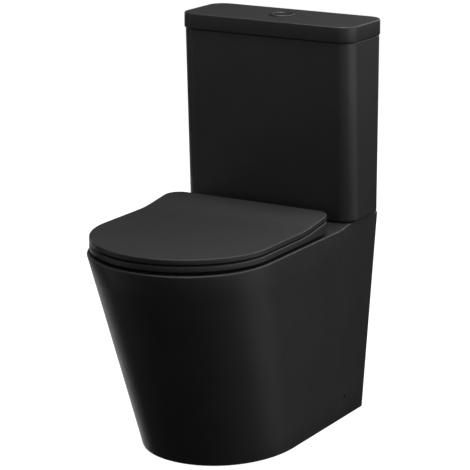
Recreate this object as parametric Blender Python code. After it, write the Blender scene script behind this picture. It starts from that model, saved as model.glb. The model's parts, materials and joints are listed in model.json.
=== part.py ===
"""Close coupled toilet with a shrouded pan, a cistern, a dual flush valve and a hinged seat.

Units are metres, +Z is up and the front faces -Y. The plane x = 0 is the plane of symmetry, the floor
is z = 0, and the middle of the depth is y = 0. Distances called d are measured forward
from the wall that the toilet stands against.
"""
import math

import bmesh
import bpy
from mathutils import Matrix, Vector

# ---------------------------------------------------------------- driving dimensions
HEIGHT = 0.800
DEPTH = 0.616
GAP = 0.0003

# pan
RIM_Z = 0.4087
PLATFORM_Z = 0.4138
PLATFORM_REAR_OF_RAMP = 0.120
PLATFORM_FRONT_OF_RAMP = 0.166
PAN_TOP = {"half": 0.1826, "straight": 0.422, "tip": DEPTH, "power": 2.142, "corner": 0.0115}
PAN_FOOT = {"half": 0.1528, "straight": 0.2872, "tip": 0.4707, "power": 2.068, "corner": 0.006}
PAN_WALL = 0.013
PAN_EDGE = 0.003
FOOT_EDGE = 0.0015
CAVITY_TOP = 0.388
BOWL_WALL = 0.012

# cistern
AXIS_D = 0.075
TANK_BOTTOM = PLATFORM_Z + 0.0014
TANK_HALF = 0.1893
TANK_FRONT_TOP = 0.1473
TANK_FRONT_BOTTOM = 0.1313
TANK_REAR = 0.001
TANK_CORNER = 0.032
TANK_WALL = 0.009
TANK_FLOOR = TANK_BOTTOM + 0.010
WALL_HOLE_X = 0.11
WALL_HOLE_Z = 0.715
LID_HALF = 0.19085
LID_FRONT = 0.1502
LID_CORNER = 0.0332
LID_HEIGHT = 0.0302
LID_UNDERSIDE = HEIGHT - LID_HEIGHT
TANK_TOP = LID_UNDERSIDE - GAP

# couplings between the cistern and the pan
BOLT_X = 0.085
FILL_X = -0.140
WELL_RADIUS = 0.050
WELL_FLOOR = 0.385

# flush valve
ROD_X = 0.011
ROCKER_PIVOT_X = 0.025
ROCKER_Z = 0.710
HOOK_X = 0.045

# seat and lid
HINGE_D = 0.199
HINGE_Z = 0.430
HINGE_X = 0.0775
SEAT_PLAN = {"half": 0.180, "straight": 0.436, "tip": 0.6115, "power": 1.974, "corner": 0.034}
SEAT_REAR = 0.1902
SEAT_RISE = 0.0121
RISE_START = 0.314
COVER_TOP = 0.4385
COVER_BOTTOM = 0.4284
RING_TOP = 0.4259
RING_BOTTOM = 0.4145
RING_HOLE = {"half": 0.107, "rear": 0.285, "front": 0.548}

# side fixing
FIXING_D = 0.089
FIXING_Z = 0.045

SIDES = {"left": -1, "right": 1}

# facets of a turned shape, by its size
FACETS_LARGE = 24
FACETS_MEDIUM = 20
FACETS_SMALL = 14
FACETS_FINE = 10


def wall(d):
    """The y of a point that lies a distance d forward of the wall."""
    return DEPTH / 2 - d


def mix(a, b, t):
    return a + (b - a) * t


def smooth_step(t):
    t = min(max(t, 0.0), 1.0)
    return t * t * (3 - 2 * t)


# ---------------------------------------------------------------- scene and materials
for old in list(bpy.data.objects):
    bpy.data.objects.remove(old)


def make_material(name, colour, roughness, metallic=0.0):
    material = bpy.data.materials.new(name)
    material.use_nodes = True
    shader = material.node_tree.nodes["Principled BSDF"]
    shader.inputs["Base Color"].default_value = (*colour, 1.0)
    shader.inputs["Roughness"].default_value = roughness
    shader.inputs["Metallic"].default_value = metallic
    return material


CERAMIC = make_material("black_ceramic", (0.022, 0.022, 0.023), 0.42)
SEAT_PLASTIC = make_material("black_seat_plastic", (0.020, 0.020, 0.021), 0.45)
TRIM_PLASTIC = make_material("black_trim_plastic", (0.018, 0.018, 0.019), 0.35)
WHITE_PLASTIC = make_material("white_valve_plastic", (0.75, 0.76, 0.76), 0.40)
BLUE_PLASTIC = make_material("blue_float_plastic", (0.10, 0.22, 0.45), 0.40)
RUBBER = make_material("black_rubber", (0.015, 0.015, 0.016), 0.75)
STEEL = make_material("stainless_steel", (0.55, 0.55, 0.55), 0.28, 1.0)
BRASS = make_material("brass", (0.70, 0.50, 0.20), 0.30, 1.0)


# ---------------------------------------------------------------- mesh tools
def make_object(name, bm, material=None, location=(0, 0, 0), parent=None):
    """Close a mesh into a named object; with a parent, the location is still the world one."""
    bmesh.ops.recalc_face_normals(bm, faces=bm.faces)
    bent = [face for face in bm.faces if len(face.verts) > 3 and not is_flat(face)]
    bmesh.ops.triangulate(bm, faces=bent)
    mesh = bpy.data.meshes.new(name)
    bm.to_mesh(mesh)
    bm.free()
    mesh.shade_smooth()
    mesh.set_sharp_from_angle(angle=math.radians(32))
    obj = bpy.data.objects.new(name, mesh)
    if material:
        mesh.materials.append(material)
    obj.parent = parent
    obj.location = Vector(location) - (parent.location if parent else Vector())
    bpy.context.collection.objects.link(obj)
    return obj


def is_flat(face):
    origin = face.verts[0].co
    return all(abs((vert.co - origin).dot(face.normal)) < 1e-7 for vert in face.verts)


def make_axis(name, location):
    """An empty that marks a joint and carries the pieces that move with it."""
    axis = bpy.data.objects.new(name, None)
    axis.location = location
    axis.empty_display_size = 0.03
    bpy.context.collection.objects.link(axis)
    return axis


def combine(target, tool, operation="DIFFERENCE"):
    """Cut a tool out of a target, or with UNION weld it on."""
    tool.hide_render = True
    tool.display_type = "WIRE"
    modifier = target.modifiers.new(tool.name, "BOOLEAN")
    modifier.operation = operation
    modifier.solver = "EXACT"
    modifier.object = tool
    return target


def lofted(rings, closed=False, ladder=False):
    """Bridge rings of equal length; the end caps are one face each, or a ladder across x = 0."""
    bm = bmesh.new()
    rows = [[bm.verts.new(point) for point in ring] for ring in rings]
    count = len(rows[0])
    pairs = list(zip(rows, rows[1:]))
    if closed:
        pairs.append((rows[-1], rows[0]))
    for low, high in pairs:
        for i in range(count):
            j = (i + 1) % count
            bm.faces.new((low[i], low[j], high[j], high[i]))
    if closed:
        return bm
    for row in (rows[0], rows[-1]):
        if ladder:
            ladder_cap(bm, row)
        else:
            bm.faces.new(row)
    return bm


def ladder_cap(bm, row):
    """Fill a ring that is symmetric about x = 0 with strips that run from side to side."""
    last = len(row) - 1
    for i in range(last // 2):
        corners = (row[i], row[i + 1], row[last - i - 1], row[last - i])
        bm.faces.new(list(dict.fromkeys(corners)))


def revolved(profile, steps, closed):
    """Turn a profile of (radius, z) points about Z; a closed profile makes a ring."""
    bm = bmesh.new()
    turns = [math.tau * i / steps for i in range(steps)]
    rows = []
    for radius, z in profile:
        if radius == 0:
            rows.append([bm.verts.new((0, 0, z))] * steps)
        else:
            rows.append([bm.verts.new((radius * math.cos(a), radius * math.sin(a), z)) for a in turns])
    pairs = list(zip(rows, rows[1:]))
    if closed:
        pairs.append((rows[-1], rows[0]))
    for low, high in pairs:
        for i in range(steps):
            j = (i + 1) % steps
            corners = list(dict.fromkeys((low[i], low[j], high[j], high[i])))
            if len(corners) > 2:
                bm.faces.new(corners)
    return bm


def clear_of(radius, steps):
    """Radius of a faceted hole whose flats lie just outside a round bar of the given radius."""
    return radius / math.cos(math.pi / steps)


def ring_mesh(inner, outer, low, high, steps=FACETS_MEDIUM):
    inner = clear_of(inner, steps)
    return revolved([(inner, low), (outer, low), (outer, high), (inner, high)], steps, True)


def rod_mesh(radius, low, high, steps=FACETS_SMALL, chamfer=0.0):
    """A round bar along Z, with optional chamfered ends."""
    if chamfer:
        rim = [(radius - chamfer, low), (radius, low + chamfer),
               (radius, high - chamfer), (radius - chamfer, high)]
    else:
        rim = [(radius, low), (radius, high)]
    return revolved([(0, low), *rim, (0, high)], steps, False)


def along_x(bm):
    bmesh.ops.rotate(bm, verts=bm.verts, matrix=Matrix.Rotation(math.pi / 2, 3, "Y"))
    return bm


def along_y(bm):
    bmesh.ops.rotate(bm, verts=bm.verts, matrix=Matrix.Rotation(math.pi / 2, 3, "X"))
    return bm


def gathered(meshes):
    """Several closed meshes as one tool."""
    whole = bmesh.new()
    for bm in meshes:
        mesh = bpy.data.meshes.new("gathered")
        bm.to_mesh(mesh)
        bm.free()
        whole.from_mesh(mesh)
        bpy.data.meshes.remove(mesh)
    return whole


def moved(bm, offset):
    bmesh.ops.translate(bm, vec=offset, verts=bm.verts)
    return bm


def both_sides(make):
    """A tool on the left and on the right: make takes the side's sign."""
    return gathered([make(-1), make(1)])


def box_mesh(low, high):
    bm = bmesh.new()
    bmesh.ops.create_cube(bm, size=1.0)
    size = Vector(high) - Vector(low)
    centre = (Vector(high) + Vector(low)) / 2
    bmesh.ops.scale(bm, vec=size, verts=bm.verts)
    bmesh.ops.translate(bm, vec=centre, verts=bm.verts)
    return bm


def hexagon_ring(apothem, z, steps):
    """Points on a hexagon, so that a nut's flats can be bridged to its round bore."""
    ring = []
    for i in range(steps):
        angle = math.tau * i / steps
        offset = (angle + math.pi / 6) % (math.pi / 3) - math.pi / 6
        radius = apothem / math.cos(offset)
        ring.append((radius * math.cos(angle), radius * math.sin(angle), z))
    return ring


def circle_ring(radius, z, steps):
    turns = [math.tau * i / steps for i in range(steps)]
    return [(radius * math.cos(a), radius * math.sin(a), z) for a in turns]


def nut_mesh(apothem, bore, low, high, steps=24):
    bore = clear_of(bore, steps)
    rings = [hexagon_ring(apothem, low, steps), hexagon_ring(apothem, high, steps),
             circle_ring(bore, high, steps), circle_ring(bore, low, steps)]
    return lofted(rings, closed=True)


# ---------------------------------------------------------------- outlines
def d_outline(plan, rear, inset=0.0, stations=(), arc_steps=3, nose_steps=FACETS_SMALL):
    """The (x, d) points of a D in plan: right side from the rear to the tip, then the left side."""
    half = plan["half"] - inset
    corner = max(plan["corner"] - inset, 0.0005)
    tip = plan["tip"] - inset
    rear = rear + inset
    right = []
    for i in range(arc_steps + 1):
        angle = math.pi / 2 * i / arc_steps
        right.append((half - corner + corner * math.sin(angle), rear + corner - corner * math.cos(angle)))
    right += [(half, d) for d in stations]
    exponent = 2 / plan["power"]
    for i in range(nose_steps + 1):
        angle = math.pi / 2 * i / nose_steps
        nose = plan["straight"] + (tip - plan["straight"]) * math.sin(angle) ** exponent
        right.append((half * max(math.cos(angle), 0.0) ** exponent if i < nose_steps else 0.0, nose))
    left = [(-x, d) for x, d in reversed(right[:-1])]
    return right + left


def egg_ring(half, rear, front, z, steps=28, widest=0.45, power=2.2):
    """A closed egg in plan, widest nearer its rear end."""
    middle = mix(rear, front, widest)
    ring = []
    for i in range(steps):
        angle = math.tau * i / steps
        side = math.copysign(abs(math.cos(angle)) ** (2 / power), math.cos(angle))
        reach = math.copysign(abs(math.sin(angle)) ** (2 / power), math.sin(angle))
        length = front - middle if reach > 0 else middle - rear
        ring.append((half * side, wall(middle + length * reach), z))
    return ring


def box_ring(half, rear, front, corner, z, arc_steps=6):
    """A rounded rectangle in plan."""
    ring = []
    centres = ((half - corner, rear + corner, -90), (half - corner, front - corner, 0),
               (-half + corner, front - corner, 90), (-half + corner, rear + corner, 180))
    for x, d, start in centres:
        for i in range(arc_steps + 1):
            angle = math.radians(start + 90 * i / arc_steps)
            ring.append((x + corner * math.cos(angle), wall(d + corner * math.sin(angle)), z))
    return ring


def smooth_path(points, per_span):
    """A Catmull-Rom curve through points of (d, z, radius)."""
    padded = [points[0], *points, points[-1]]
    path = []
    for p0, p1, p2, p3 in zip(padded, padded[1:], padded[2:], padded[3:]):
        for i in range(per_span):
            t = i / per_span
            path.append(tuple(
                0.5 * (2 * b + (c - a) * t + (2 * a - 5 * b + 4 * c - e) * t ** 2
                       + (3 * b - a - 3 * c + e) * t ** 3)
                for a, b, c, e in zip(p0, p1, p2, p3)))
    return [*path, points[-1]]


def pipe_mesh(path, extra=0.0, steps=FACETS_SMALL):
    """A pipe along a path of (d, z, radius) in the plane x = 0."""
    rings = []
    for i, (d, z, radius) in enumerate(path):
        before, after = path[max(i - 1, 0)], path[min(i + 1, len(path) - 1)]
        tangent = Vector((0, before[0] - after[0], after[1] - before[1])).normalized()
        normal = Vector((0, -tangent.z, tangent.y))
        centre = Vector((0, wall(d), z))
        ring = []
        for k in range(steps):
            angle = math.tau * k / steps
            offset = Vector((math.cos(angle), 0, 0)) + normal * math.sin(angle)
            ring.append(centre + offset * (radius + extra))
        rings.append(ring)
    return lofted(rings)


# ---------------------------------------------------------------- pan
RAMP_STATIONS = [mix(PLATFORM_REAR_OF_RAMP, PLATFORM_FRONT_OF_RAMP, i / 4) for i in range(5)]


def pan_top(d):
    """Height of the pan's top: the platform under the cistern, then a short ramp down to the rim."""
    ramp = (d - PLATFORM_REAR_OF_RAMP) / (PLATFORM_FRONT_OF_RAMP - PLATFORM_REAR_OF_RAMP)
    return mix(PLATFORM_Z, RIM_Z, smooth_step(ramp))


def pan_plan(level):
    return {key: mix(PAN_FOOT[key], PAN_TOP[key], level) for key in PAN_TOP}


def pan_ring(level, inset, height):
    """One ring of the outside: height turns the pan's top at d into a z."""
    outline = d_outline(pan_plan(level), 0.0, inset, RAMP_STATIONS)
    return [(x, wall(d), height(pan_top(d))) for x, d in outline]


def pan_outside():
    rings = [pan_ring(0.0, FOOT_EDGE, lambda top: 0.0),
             pan_ring(0.0, 0.0, lambda top: FOOT_EDGE)]
    for level in (0.5, 1.0):
        rings.append(pan_ring(level, 0.0, lambda top, t=level: mix(FOOT_EDGE, top - PAN_EDGE, t)))
    for step in (1, 2):
        angle = math.pi / 2 * step / 2
        inset = PAN_EDGE * (1 - math.cos(angle))
        drop = PAN_EDGE * (1 - math.sin(angle))
        rings.append(pan_ring(1.0, inset, lambda top, low=drop: top - low))
    return lofted(rings, ladder=True)


def pan_cavity():
    """The hollow between the shroud and the bowl, open below and behind."""
    rings = []
    for z in (-0.02, CAVITY_TOP):
        outline = d_outline(pan_plan(max(z, 0) / PLATFORM_Z), -0.03, PAN_WALL, nose_steps=14)
        rings.append([(x, wall(d), z) for x, d in outline])
    return lofted(rings, ladder=True)


# (z, half width, rear, front) of the bowl's inside, from the rim down to the sump
BOWL_LEVELS = ((0.430, 0.130, 0.262, 0.562), (0.385, 0.130, 0.262, 0.562), (0.355, 0.123, 0.265, 0.552),
               (0.310, 0.105, 0.270, 0.528), (0.265, 0.083, 0.272, 0.490), (0.220, 0.064, 0.272, 0.445),
               (0.170, 0.052, 0.272, 0.410), (0.120, 0.044, 0.276, 0.388), (0.092, 0.030, 0.286, 0.365),
               (0.084, 0.014, 0.302, 0.345))
TRAP_ROUTE = ((0.345, 0.118, 0.030), (0.290, 0.116, 0.031), (0.252, 0.160, 0.031), (0.222, 0.208, 0.031),
              (0.185, 0.226, 0.032), (0.150, 0.206, 0.035), (0.126, 0.187, 0.040), (0.106, 0.180, 0.041))
SPIGOT_END = (0.085, 0.180, 0.041)
PAST_SPIGOT = (0.060, 0.180, 0.041)
TRAP_WALL = 0.010


def bowl_mesh(extra, levels):
    rings = []
    for z, half, rear, front in levels:
        rings.append(egg_ring(half + extra, rear - extra, front + extra, z))
    return lofted(rings)


def upright_holes(radius, x, d, low, high):
    """A pair of upright round holes, one on each side."""
    return both_sides(lambda sign: moved(rod_mesh(radius, low, high), (sign * x, wall(d), 0)))


def build_pan():
    pan = make_object("pan", pan_outside(), CERAMIC)
    combine(pan, make_object("pan_cavity_cutter", pan_cavity()))

    outer_levels = [(min(z, 0.398) if z > 0.4 else z - BOWL_WALL * (z < 0.1), *rest)
                    for z, *rest in BOWL_LEVELS]
    combine(pan, make_object("bowl_outer_tool", bowl_mesh(BOWL_WALL, outer_levels)), "UNION")

    route = [*smooth_path(TRAP_ROUTE, 2), SPIGOT_END]
    combine(pan, make_object("trap_outer_tool", pipe_mesh(route, TRAP_WALL)), "UNION")

    half_duct = 0.047
    duct = box_mesh((-half_duct, wall(0.258), 0.330), (half_duct, wall(AXIS_D), CAVITY_TOP + 0.010))
    combine(pan, make_object("duct_outer_tool", duct), "UNION")
    boss = rod_mesh(WELL_RADIUS + 0.012, 0.330, CAVITY_TOP + 0.010, FACETS_LARGE)
    combine(pan, make_object("well_boss_tool", boss, location=(0, wall(AXIS_D), 0)), "UNION")

    combine(pan, make_object("bowl_cutter", bowl_mesh(0.0, BOWL_LEVELS)))
    combine(pan, make_object("trap_cutter", pipe_mesh([*route[1:], PAST_SPIGOT])))
    wall_duct = 0.012
    inner_half = half_duct - wall_duct
    inner = box_mesh((-inner_half, wall(0.275), 0.342), (inner_half, wall(AXIS_D), 0.372))
    combine(pan, make_object("duct_cutter", inner))
    well = revolved([(0, 0.342), (0.032, 0.342), (0.032, WELL_FLOOR), (WELL_RADIUS, WELL_FLOOR),
                     (WELL_RADIUS, 0.45), (0, 0.45)], FACETS_LARGE, False)
    combine(pan, make_object("well_cutter", well, location=(0, wall(AXIS_D), 0)))

    low, high = 0.37, 0.43
    bolt_holes = upright_holes(0.006, BOLT_X, AXIS_D, low, high)
    hinge_holes = upright_holes(0.007, HINGE_X, HINGE_D, low, high)
    inlet_relief = moved(rod_mesh(0.022, low, high, FACETS_MEDIUM), (FILL_X, wall(AXIS_D), 0))
    fixing_hole = moved(along_x(rod_mesh(0.005, -0.2, 0.2)), (0, wall(FIXING_D), FIXING_Z))
    holes = gathered([bolt_holes, hinge_holes, inlet_relief, fixing_hole])
    combine(pan, make_object("pan_holes_cutter", holes))


# ---------------------------------------------------------------- cistern shell
def tank_front(z):
    return mix(TANK_FRONT_BOTTOM, TANK_FRONT_TOP, (z - TANK_BOTTOM) / (TANK_TOP - TANK_BOTTOM))


def tank_ring(z, inset):
    return box_ring(TANK_HALF - inset, TANK_REAR + inset, tank_front(z) - inset, TANK_CORNER - inset, z)


def build_tank():
    bottom_edge, top_edge = 0.005, 0.004
    rings = [tank_ring(TANK_BOTTOM, bottom_edge), tank_ring(TANK_BOTTOM + 0.0015, 0.0015),
             tank_ring(TANK_BOTTOM + bottom_edge, 0.0), tank_ring(TANK_TOP - top_edge, 0.0),
             tank_ring(TANK_TOP - 0.0012, 0.0012), tank_ring(TANK_TOP, top_edge)]
    tank = make_object("cistern_tank", lofted(rings), CERAMIC)
    cavity = lofted([tank_ring(TANK_FLOOR, TANK_WALL), tank_ring(TANK_TOP + 0.01, TANK_WALL)])
    combine(tank, make_object("tank_cavity_cutter", cavity))
    low, high = TANK_BOTTOM - 0.01, TANK_FLOOR + 0.01
    valve_hole = moved(rod_mesh(0.031, low, high, FACETS_LARGE), (0, wall(AXIS_D), 0))
    fill_hole = moved(rod_mesh(0.0112, low, high, FACETS_SMALL), (FILL_X, wall(AXIS_D), 0))
    bolt_holes = upright_holes(0.0055, BOLT_X, AXIS_D, low, high)
    wall_holes = both_sides(lambda sign: moved(along_y(rod_mesh(0.004, -0.02, 0.02)),
                                               (sign * WALL_HOLE_X, wall(0), WALL_HOLE_Z)))
    holes = gathered([valve_hole, fill_hole, bolt_holes, wall_holes])
    combine(tank, make_object("tank_holes_cutter", holes))


def build_cistern_lid(axis):
    edge = 0.003
    rings = [box_ring(LID_HALF - 0.001, 0.001, LID_FRONT - 0.001, LID_CORNER - 0.001, LID_UNDERSIDE),
             box_ring(LID_HALF, 0.0, LID_FRONT, LID_CORNER, LID_UNDERSIDE + 0.001),
             box_ring(LID_HALF, 0.0, LID_FRONT, LID_CORNER, HEIGHT - edge),
             box_ring(LID_HALF - 0.0009, 0.0009, LID_FRONT - 0.0009, LID_CORNER - 0.0009, HEIGHT - 0.0009),
             box_ring(LID_HALF - edge, edge, LID_FRONT - edge, LID_CORNER - edge, HEIGHT)]
    lid = make_object("cistern_lid", lofted(rings), CERAMIC, parent=axis)
    lip_bottom = LID_UNDERSIDE - 0.008
    inset = TANK_WALL + 0.0015
    lip = lofted([tank_ring_at(TANK_TOP, inset, z) for z in (lip_bottom, HEIGHT - 0.015)])
    combine(lid, make_object("lid_lip_tool", lip, parent=axis), "UNION")
    recess = lofted([tank_ring_at(TANK_TOP, inset + 0.008, z) for z in (lip_bottom - 0.01, HEIGHT - 0.010)])
    combine(lid, make_object("lid_recess_cutter", recess, parent=axis))
    hole = rod_mesh(0.021, HEIGHT - 0.02, HEIGHT + 0.01, FACETS_LARGE)
    combine(lid, make_object("button_hole_cutter", hole, location=(0, wall(AXIS_D), 0), parent=axis))


def tank_ring_at(shape_z, inset, z):
    """The tank's outline at one height, drawn at another."""
    return [(x, y, z) for x, y, _ in tank_ring(shape_z, inset)]


# ---------------------------------------------------------------- buttons
def build_button_unit(lid_axis):
    centre = (0, wall(AXIS_D), 0)
    bezel = revolved([(0.018, 0.766), (0.020, 0.766), (0.020, HEIGHT + GAP), (0.0255, HEIGHT + GAP),
                      (0.0255, HEIGHT + 0.0012), (0.0240, HEIGHT + 0.0025), (0.0195, HEIGHT + 0.0025),
                      (0.018, HEIGHT + 0.0012)], FACETS_LARGE, True)
    make_object("button_bezel", bezel, TRIM_PLASTIC, centre, lid_axis)
    ceiling = HEIGHT - 0.010
    nut = revolved([(0.0203, ceiling - 0.006), (0.027, ceiling - 0.006), (0.028, ceiling - 0.003),
                    (0.027, ceiling - GAP), (0.0203, ceiling - GAP)], FACETS_MEDIUM, True)
    make_object("button_ring_nut", nut, WHITE_PLASTIC, centre, lid_axis)

    for name, sign in (("full_flush_button", 1), ("half_flush_button", -1)):
        axis = make_axis(f"{name}_axis", (sign * ROD_X, wall(AXIS_D), HEIGHT))
        outline = [(sign * 0.0004, -0.0175)]
        for i in range(13):
            angle = math.pi * i / 12 - math.pi / 2
            outline.append((sign * (0.0004 + 0.0172 * math.cos(angle)), 0.0175 * math.sin(angle)))
        outline = outline[1:]
        rings = [[(x * grow, y * grow, z) for x, y in outline]
                 for z, grow in ((HEIGHT - 0.010, 1.0), (HEIGHT + 0.0008, 1.0), (HEIGHT + 0.0016, 0.96))]
        button = make_object(name, lofted(rings), TRIM_PLASTIC, centre, axis)
        rod = rod_mesh(0.002, ROCKER_Z + 0.003, HEIGHT - 0.008, FACETS_FINE)
        tool = make_object(f"{name}_rod_tool", rod, None, (sign * ROD_X, wall(AXIS_D), 0), axis)
        combine(button, tool, "UNION")


# ---------------------------------------------------------------- flush valve
def bar_tool(name, low, high, parent=None):
    """A rectangular bar, given by world x, distance from the wall and z."""
    (x0, d0, z0), (x1, d1, z1) = low, high
    return make_object(name, box_mesh((x0, wall(d0), z0), (x1, wall(d1), z1)), parent=parent)


def build_flush_valve():
    centre = (0, wall(AXIS_D), 0)
    gasket_top = TANK_FLOOR + 0.0023
    gasket = ring_mesh(0.0305, 0.040, TANK_FLOOR + GAP, gasket_top, FACETS_LARGE)
    make_object("valve_seat_gasket", gasket, RUBBER, centre)
    flange_low = gasket_top + GAP
    flange_high = flange_low + 0.004
    seat_lip = flange_high + 0.004
    seat = revolved([(0.0245, 0.387), (0.029, 0.387), (0.029, flange_low), (0.041, flange_low),
                     (0.041, flange_high), (0.0275, flange_high), (0.0275, seat_lip), (0.0245, seat_lip)],
                    FACETS_LARGE, True)
    make_object("flush_valve_seat", seat, WHITE_PLASTIC, centre)
    nut_top = TANK_BOTTOM - GAP
    nut_low = nut_top - 0.010
    nut = nut_mesh(0.034, 0.0293, nut_low, nut_top)
    make_object("flush_valve_backnut", nut, WHITE_PLASTIC, centre)
    seal = revolved([(0.030, WELL_FLOOR + GAP), (0.0485, WELL_FLOOR + GAP), (0.0485, nut_top - 0.001),
                     (0.0402, nut_top - 0.001), (0.0402, nut_low - GAP), (0.030, nut_low - GAP)],
                    FACETS_LARGE, True)
    make_object("doughnut_seal", seal, RUBBER, centre)
    build_cage(flange_high + GAP)
    build_overflow_tube(seat_lip + GAP)
    build_rockers()
    build_half_flush_float()


def cheek_pair(low_x, high_x, low_z, high_z):
    """Two cheeks that hold a lever's pin, one on each side of the lever."""
    return gathered([box_mesh((low_x, wall(AXIS_D + place) - 0.0013, low_z),
                              (high_x, wall(AXIS_D + place) + 0.0013, high_z))
                     for place in (-0.0065, 0.0065)])


def build_cage(base):
    """Four legs between a base ring and a head with a guide sleeve for the overflow tube."""
    centre = (0, wall(AXIS_D), 0)
    head = 0.695
    foot = [(0.0315, base), (0.040, base), (0.040, base + 0.005), (0.0315, base + 0.005)]
    cage = make_object("flush_valve_cage", revolved(foot, FACETS_MEDIUM, True), WHITE_PLASTIC, centre)
    crown = [(0.0195, head), (0.040, head), (0.040, head + 0.005), (0.0165, head + 0.005),
             (0.0165, 0.655), (0.0195, 0.655)]
    crown = revolved(crown, FACETS_MEDIUM, True)
    combine(cage, make_object("cage_head_tool", crown, location=centre), "UNION")
    spread = 0.0257
    legs = gathered([box_mesh((x - 0.003, wall(AXIS_D) + y - 0.003, base + 0.002),
                              (x + 0.003, wall(AXIS_D) + y + 0.003, head + 0.002))
                     for x in (-spread, spread) for y in (-spread, spread)])
    combine(cage, make_object("cage_legs_tool", legs), "UNION")
    cheek = 0.0035
    cheeks = both_sides(lambda sign: cheek_pair(
        sign * ROCKER_PIVOT_X - cheek, sign * ROCKER_PIVOT_X + cheek, head + 0.004, ROCKER_Z + 0.004))
    combine(cage, make_object("rocker_cheeks_tool", cheeks), "UNION")
    pin_holes = both_sides(lambda sign: moved(along_y(rod_mesh(0.0016, -0.012, 0.012, FACETS_FINE)),
                                              (sign * ROCKER_PIVOT_X, wall(AXIS_D), ROCKER_Z)))
    combine(cage, make_object("rocker_pin_holes_cutter", pin_holes))
    guide = bar_tool("float_guide_tool", (-0.0500, AXIS_D - 0.001, 0.598),
                     (-0.0245, AXIS_D - 0.027, 0.602))
    combine(cage, guide, "UNION")
    guide_hole = make_object("float_guide_cutter", rod_mesh(0.0024, 0.59, 0.61, FACETS_FINE),
                             location=(-HOOK_X, wall(AXIS_D - 0.0065), 0))
    combine(cage, guide_hole)


def hooked_rod(name, sign, foot_z, axis):
    """A vertical rod beside a rocker's outer end, with a finger that the rocker lifts."""
    x = sign * HOOK_X
    finger_low = ROCKER_Z + 0.0028
    rod = rod_mesh(0.0018, foot_z, finger_low + 0.001, FACETS_FINE)
    tool = make_object(f"{name}_rod_tool", rod, None, (x, wall(AXIS_D - 0.0065), 0), axis)
    finger = bar_tool(f"{name}_finger_tool", (x - 0.0025, AXIS_D + 0.0035, finger_low),
                      (x + 0.0025, AXIS_D - 0.0085, finger_low + 0.003), axis)
    return tool, finger


def build_overflow_tube(seal_bottom):
    axis = make_axis("overflow_tube_axis", (0, wall(AXIS_D), seal_bottom))
    centre = (0, wall(AXIS_D), 0)
    seal_top = seal_bottom + 0.0038
    seal = ring_mesh(0.0138, 0.0285, seal_bottom, seal_top, FACETS_LARGE)
    make_object("flush_seal", seal, RUBBER, centre, axis)
    foot = seal_top + GAP
    profile = [(0.0135, foot), (0.028, foot), (0.028, foot + 0.003), (0.016, foot + 0.006),
               (0.016, 0.672), (0.0135, 0.672)]
    tube = make_object("overflow_tube", revolved(profile, FACETS_LARGE, True), WHITE_PLASTIC, centre, axis)
    for tool in hooked_rod("overflow_tube", 1, 0.598, axis):
        combine(tube, tool, "UNION")
    arm = bar_tool("overflow_arm_tool", (0.0148, AXIS_D - 0.004, 0.597),
                   (HOOK_X, AXIS_D - 0.009, 0.601), axis)
    combine(tube, arm, "UNION")


def build_half_flush_float():
    axis = make_axis("half_flush_float_axis", (-HOOK_X, wall(AXIS_D), 0.54))
    can = revolved([(0, 0.520), (0.010, 0.520), (0.011, 0.521), (0.011, 0.559), (0.010, 0.560), (0, 0.560)],
                   FACETS_MEDIUM, False)
    float_can = make_object("half_flush_float", can, BLUE_PLASTIC, (-0.053, wall(AXIS_D - 0.0065), 0), axis)
    for tool in hooked_rod("half_flush_float", -1, 0.556, axis):
        combine(float_can, tool, "UNION")


def build_rockers():
    for name, sign in (("full_flush_rocker", 1), ("half_flush_rocker", -1)):
        pivot = (sign * ROCKER_PIVOT_X, wall(AXIS_D), ROCKER_Z)
        build_lever(name, pivot, sign * (0.006 - ROCKER_PIVOT_X), sign * (0.048 - ROCKER_PIVOT_X))


def build_lever(name, pivot, start, end):
    """A flat bar that turns on a pin along Y, from x = start to x = end about its pivot."""
    axis = make_axis(f"{name}_axis", pivot)
    low, high = min(start, end), max(start, end)
    bar = box_mesh((low, -0.0035, -0.002), (high, 0.0035, 0.002))
    lever = make_object(name, bar, WHITE_PLASTIC, pivot, axis)
    hub = along_y(rod_mesh(0.0036, -0.0045, 0.0045, FACETS_SMALL))
    combine(lever, make_object(f"{name}_hub_tool", hub, None, pivot, axis), "UNION")
    bore = along_y(rod_mesh(0.0017, -0.01, 0.01, FACETS_FINE))
    combine(lever, make_object(f"{name}_bore_cutter", bore, None, pivot, axis))
    pin = along_y(rod_mesh(0.0013, -0.0095, 0.0095, FACETS_FINE))
    make_object(f"{name}_pin", pin, STEEL, pivot)


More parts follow.
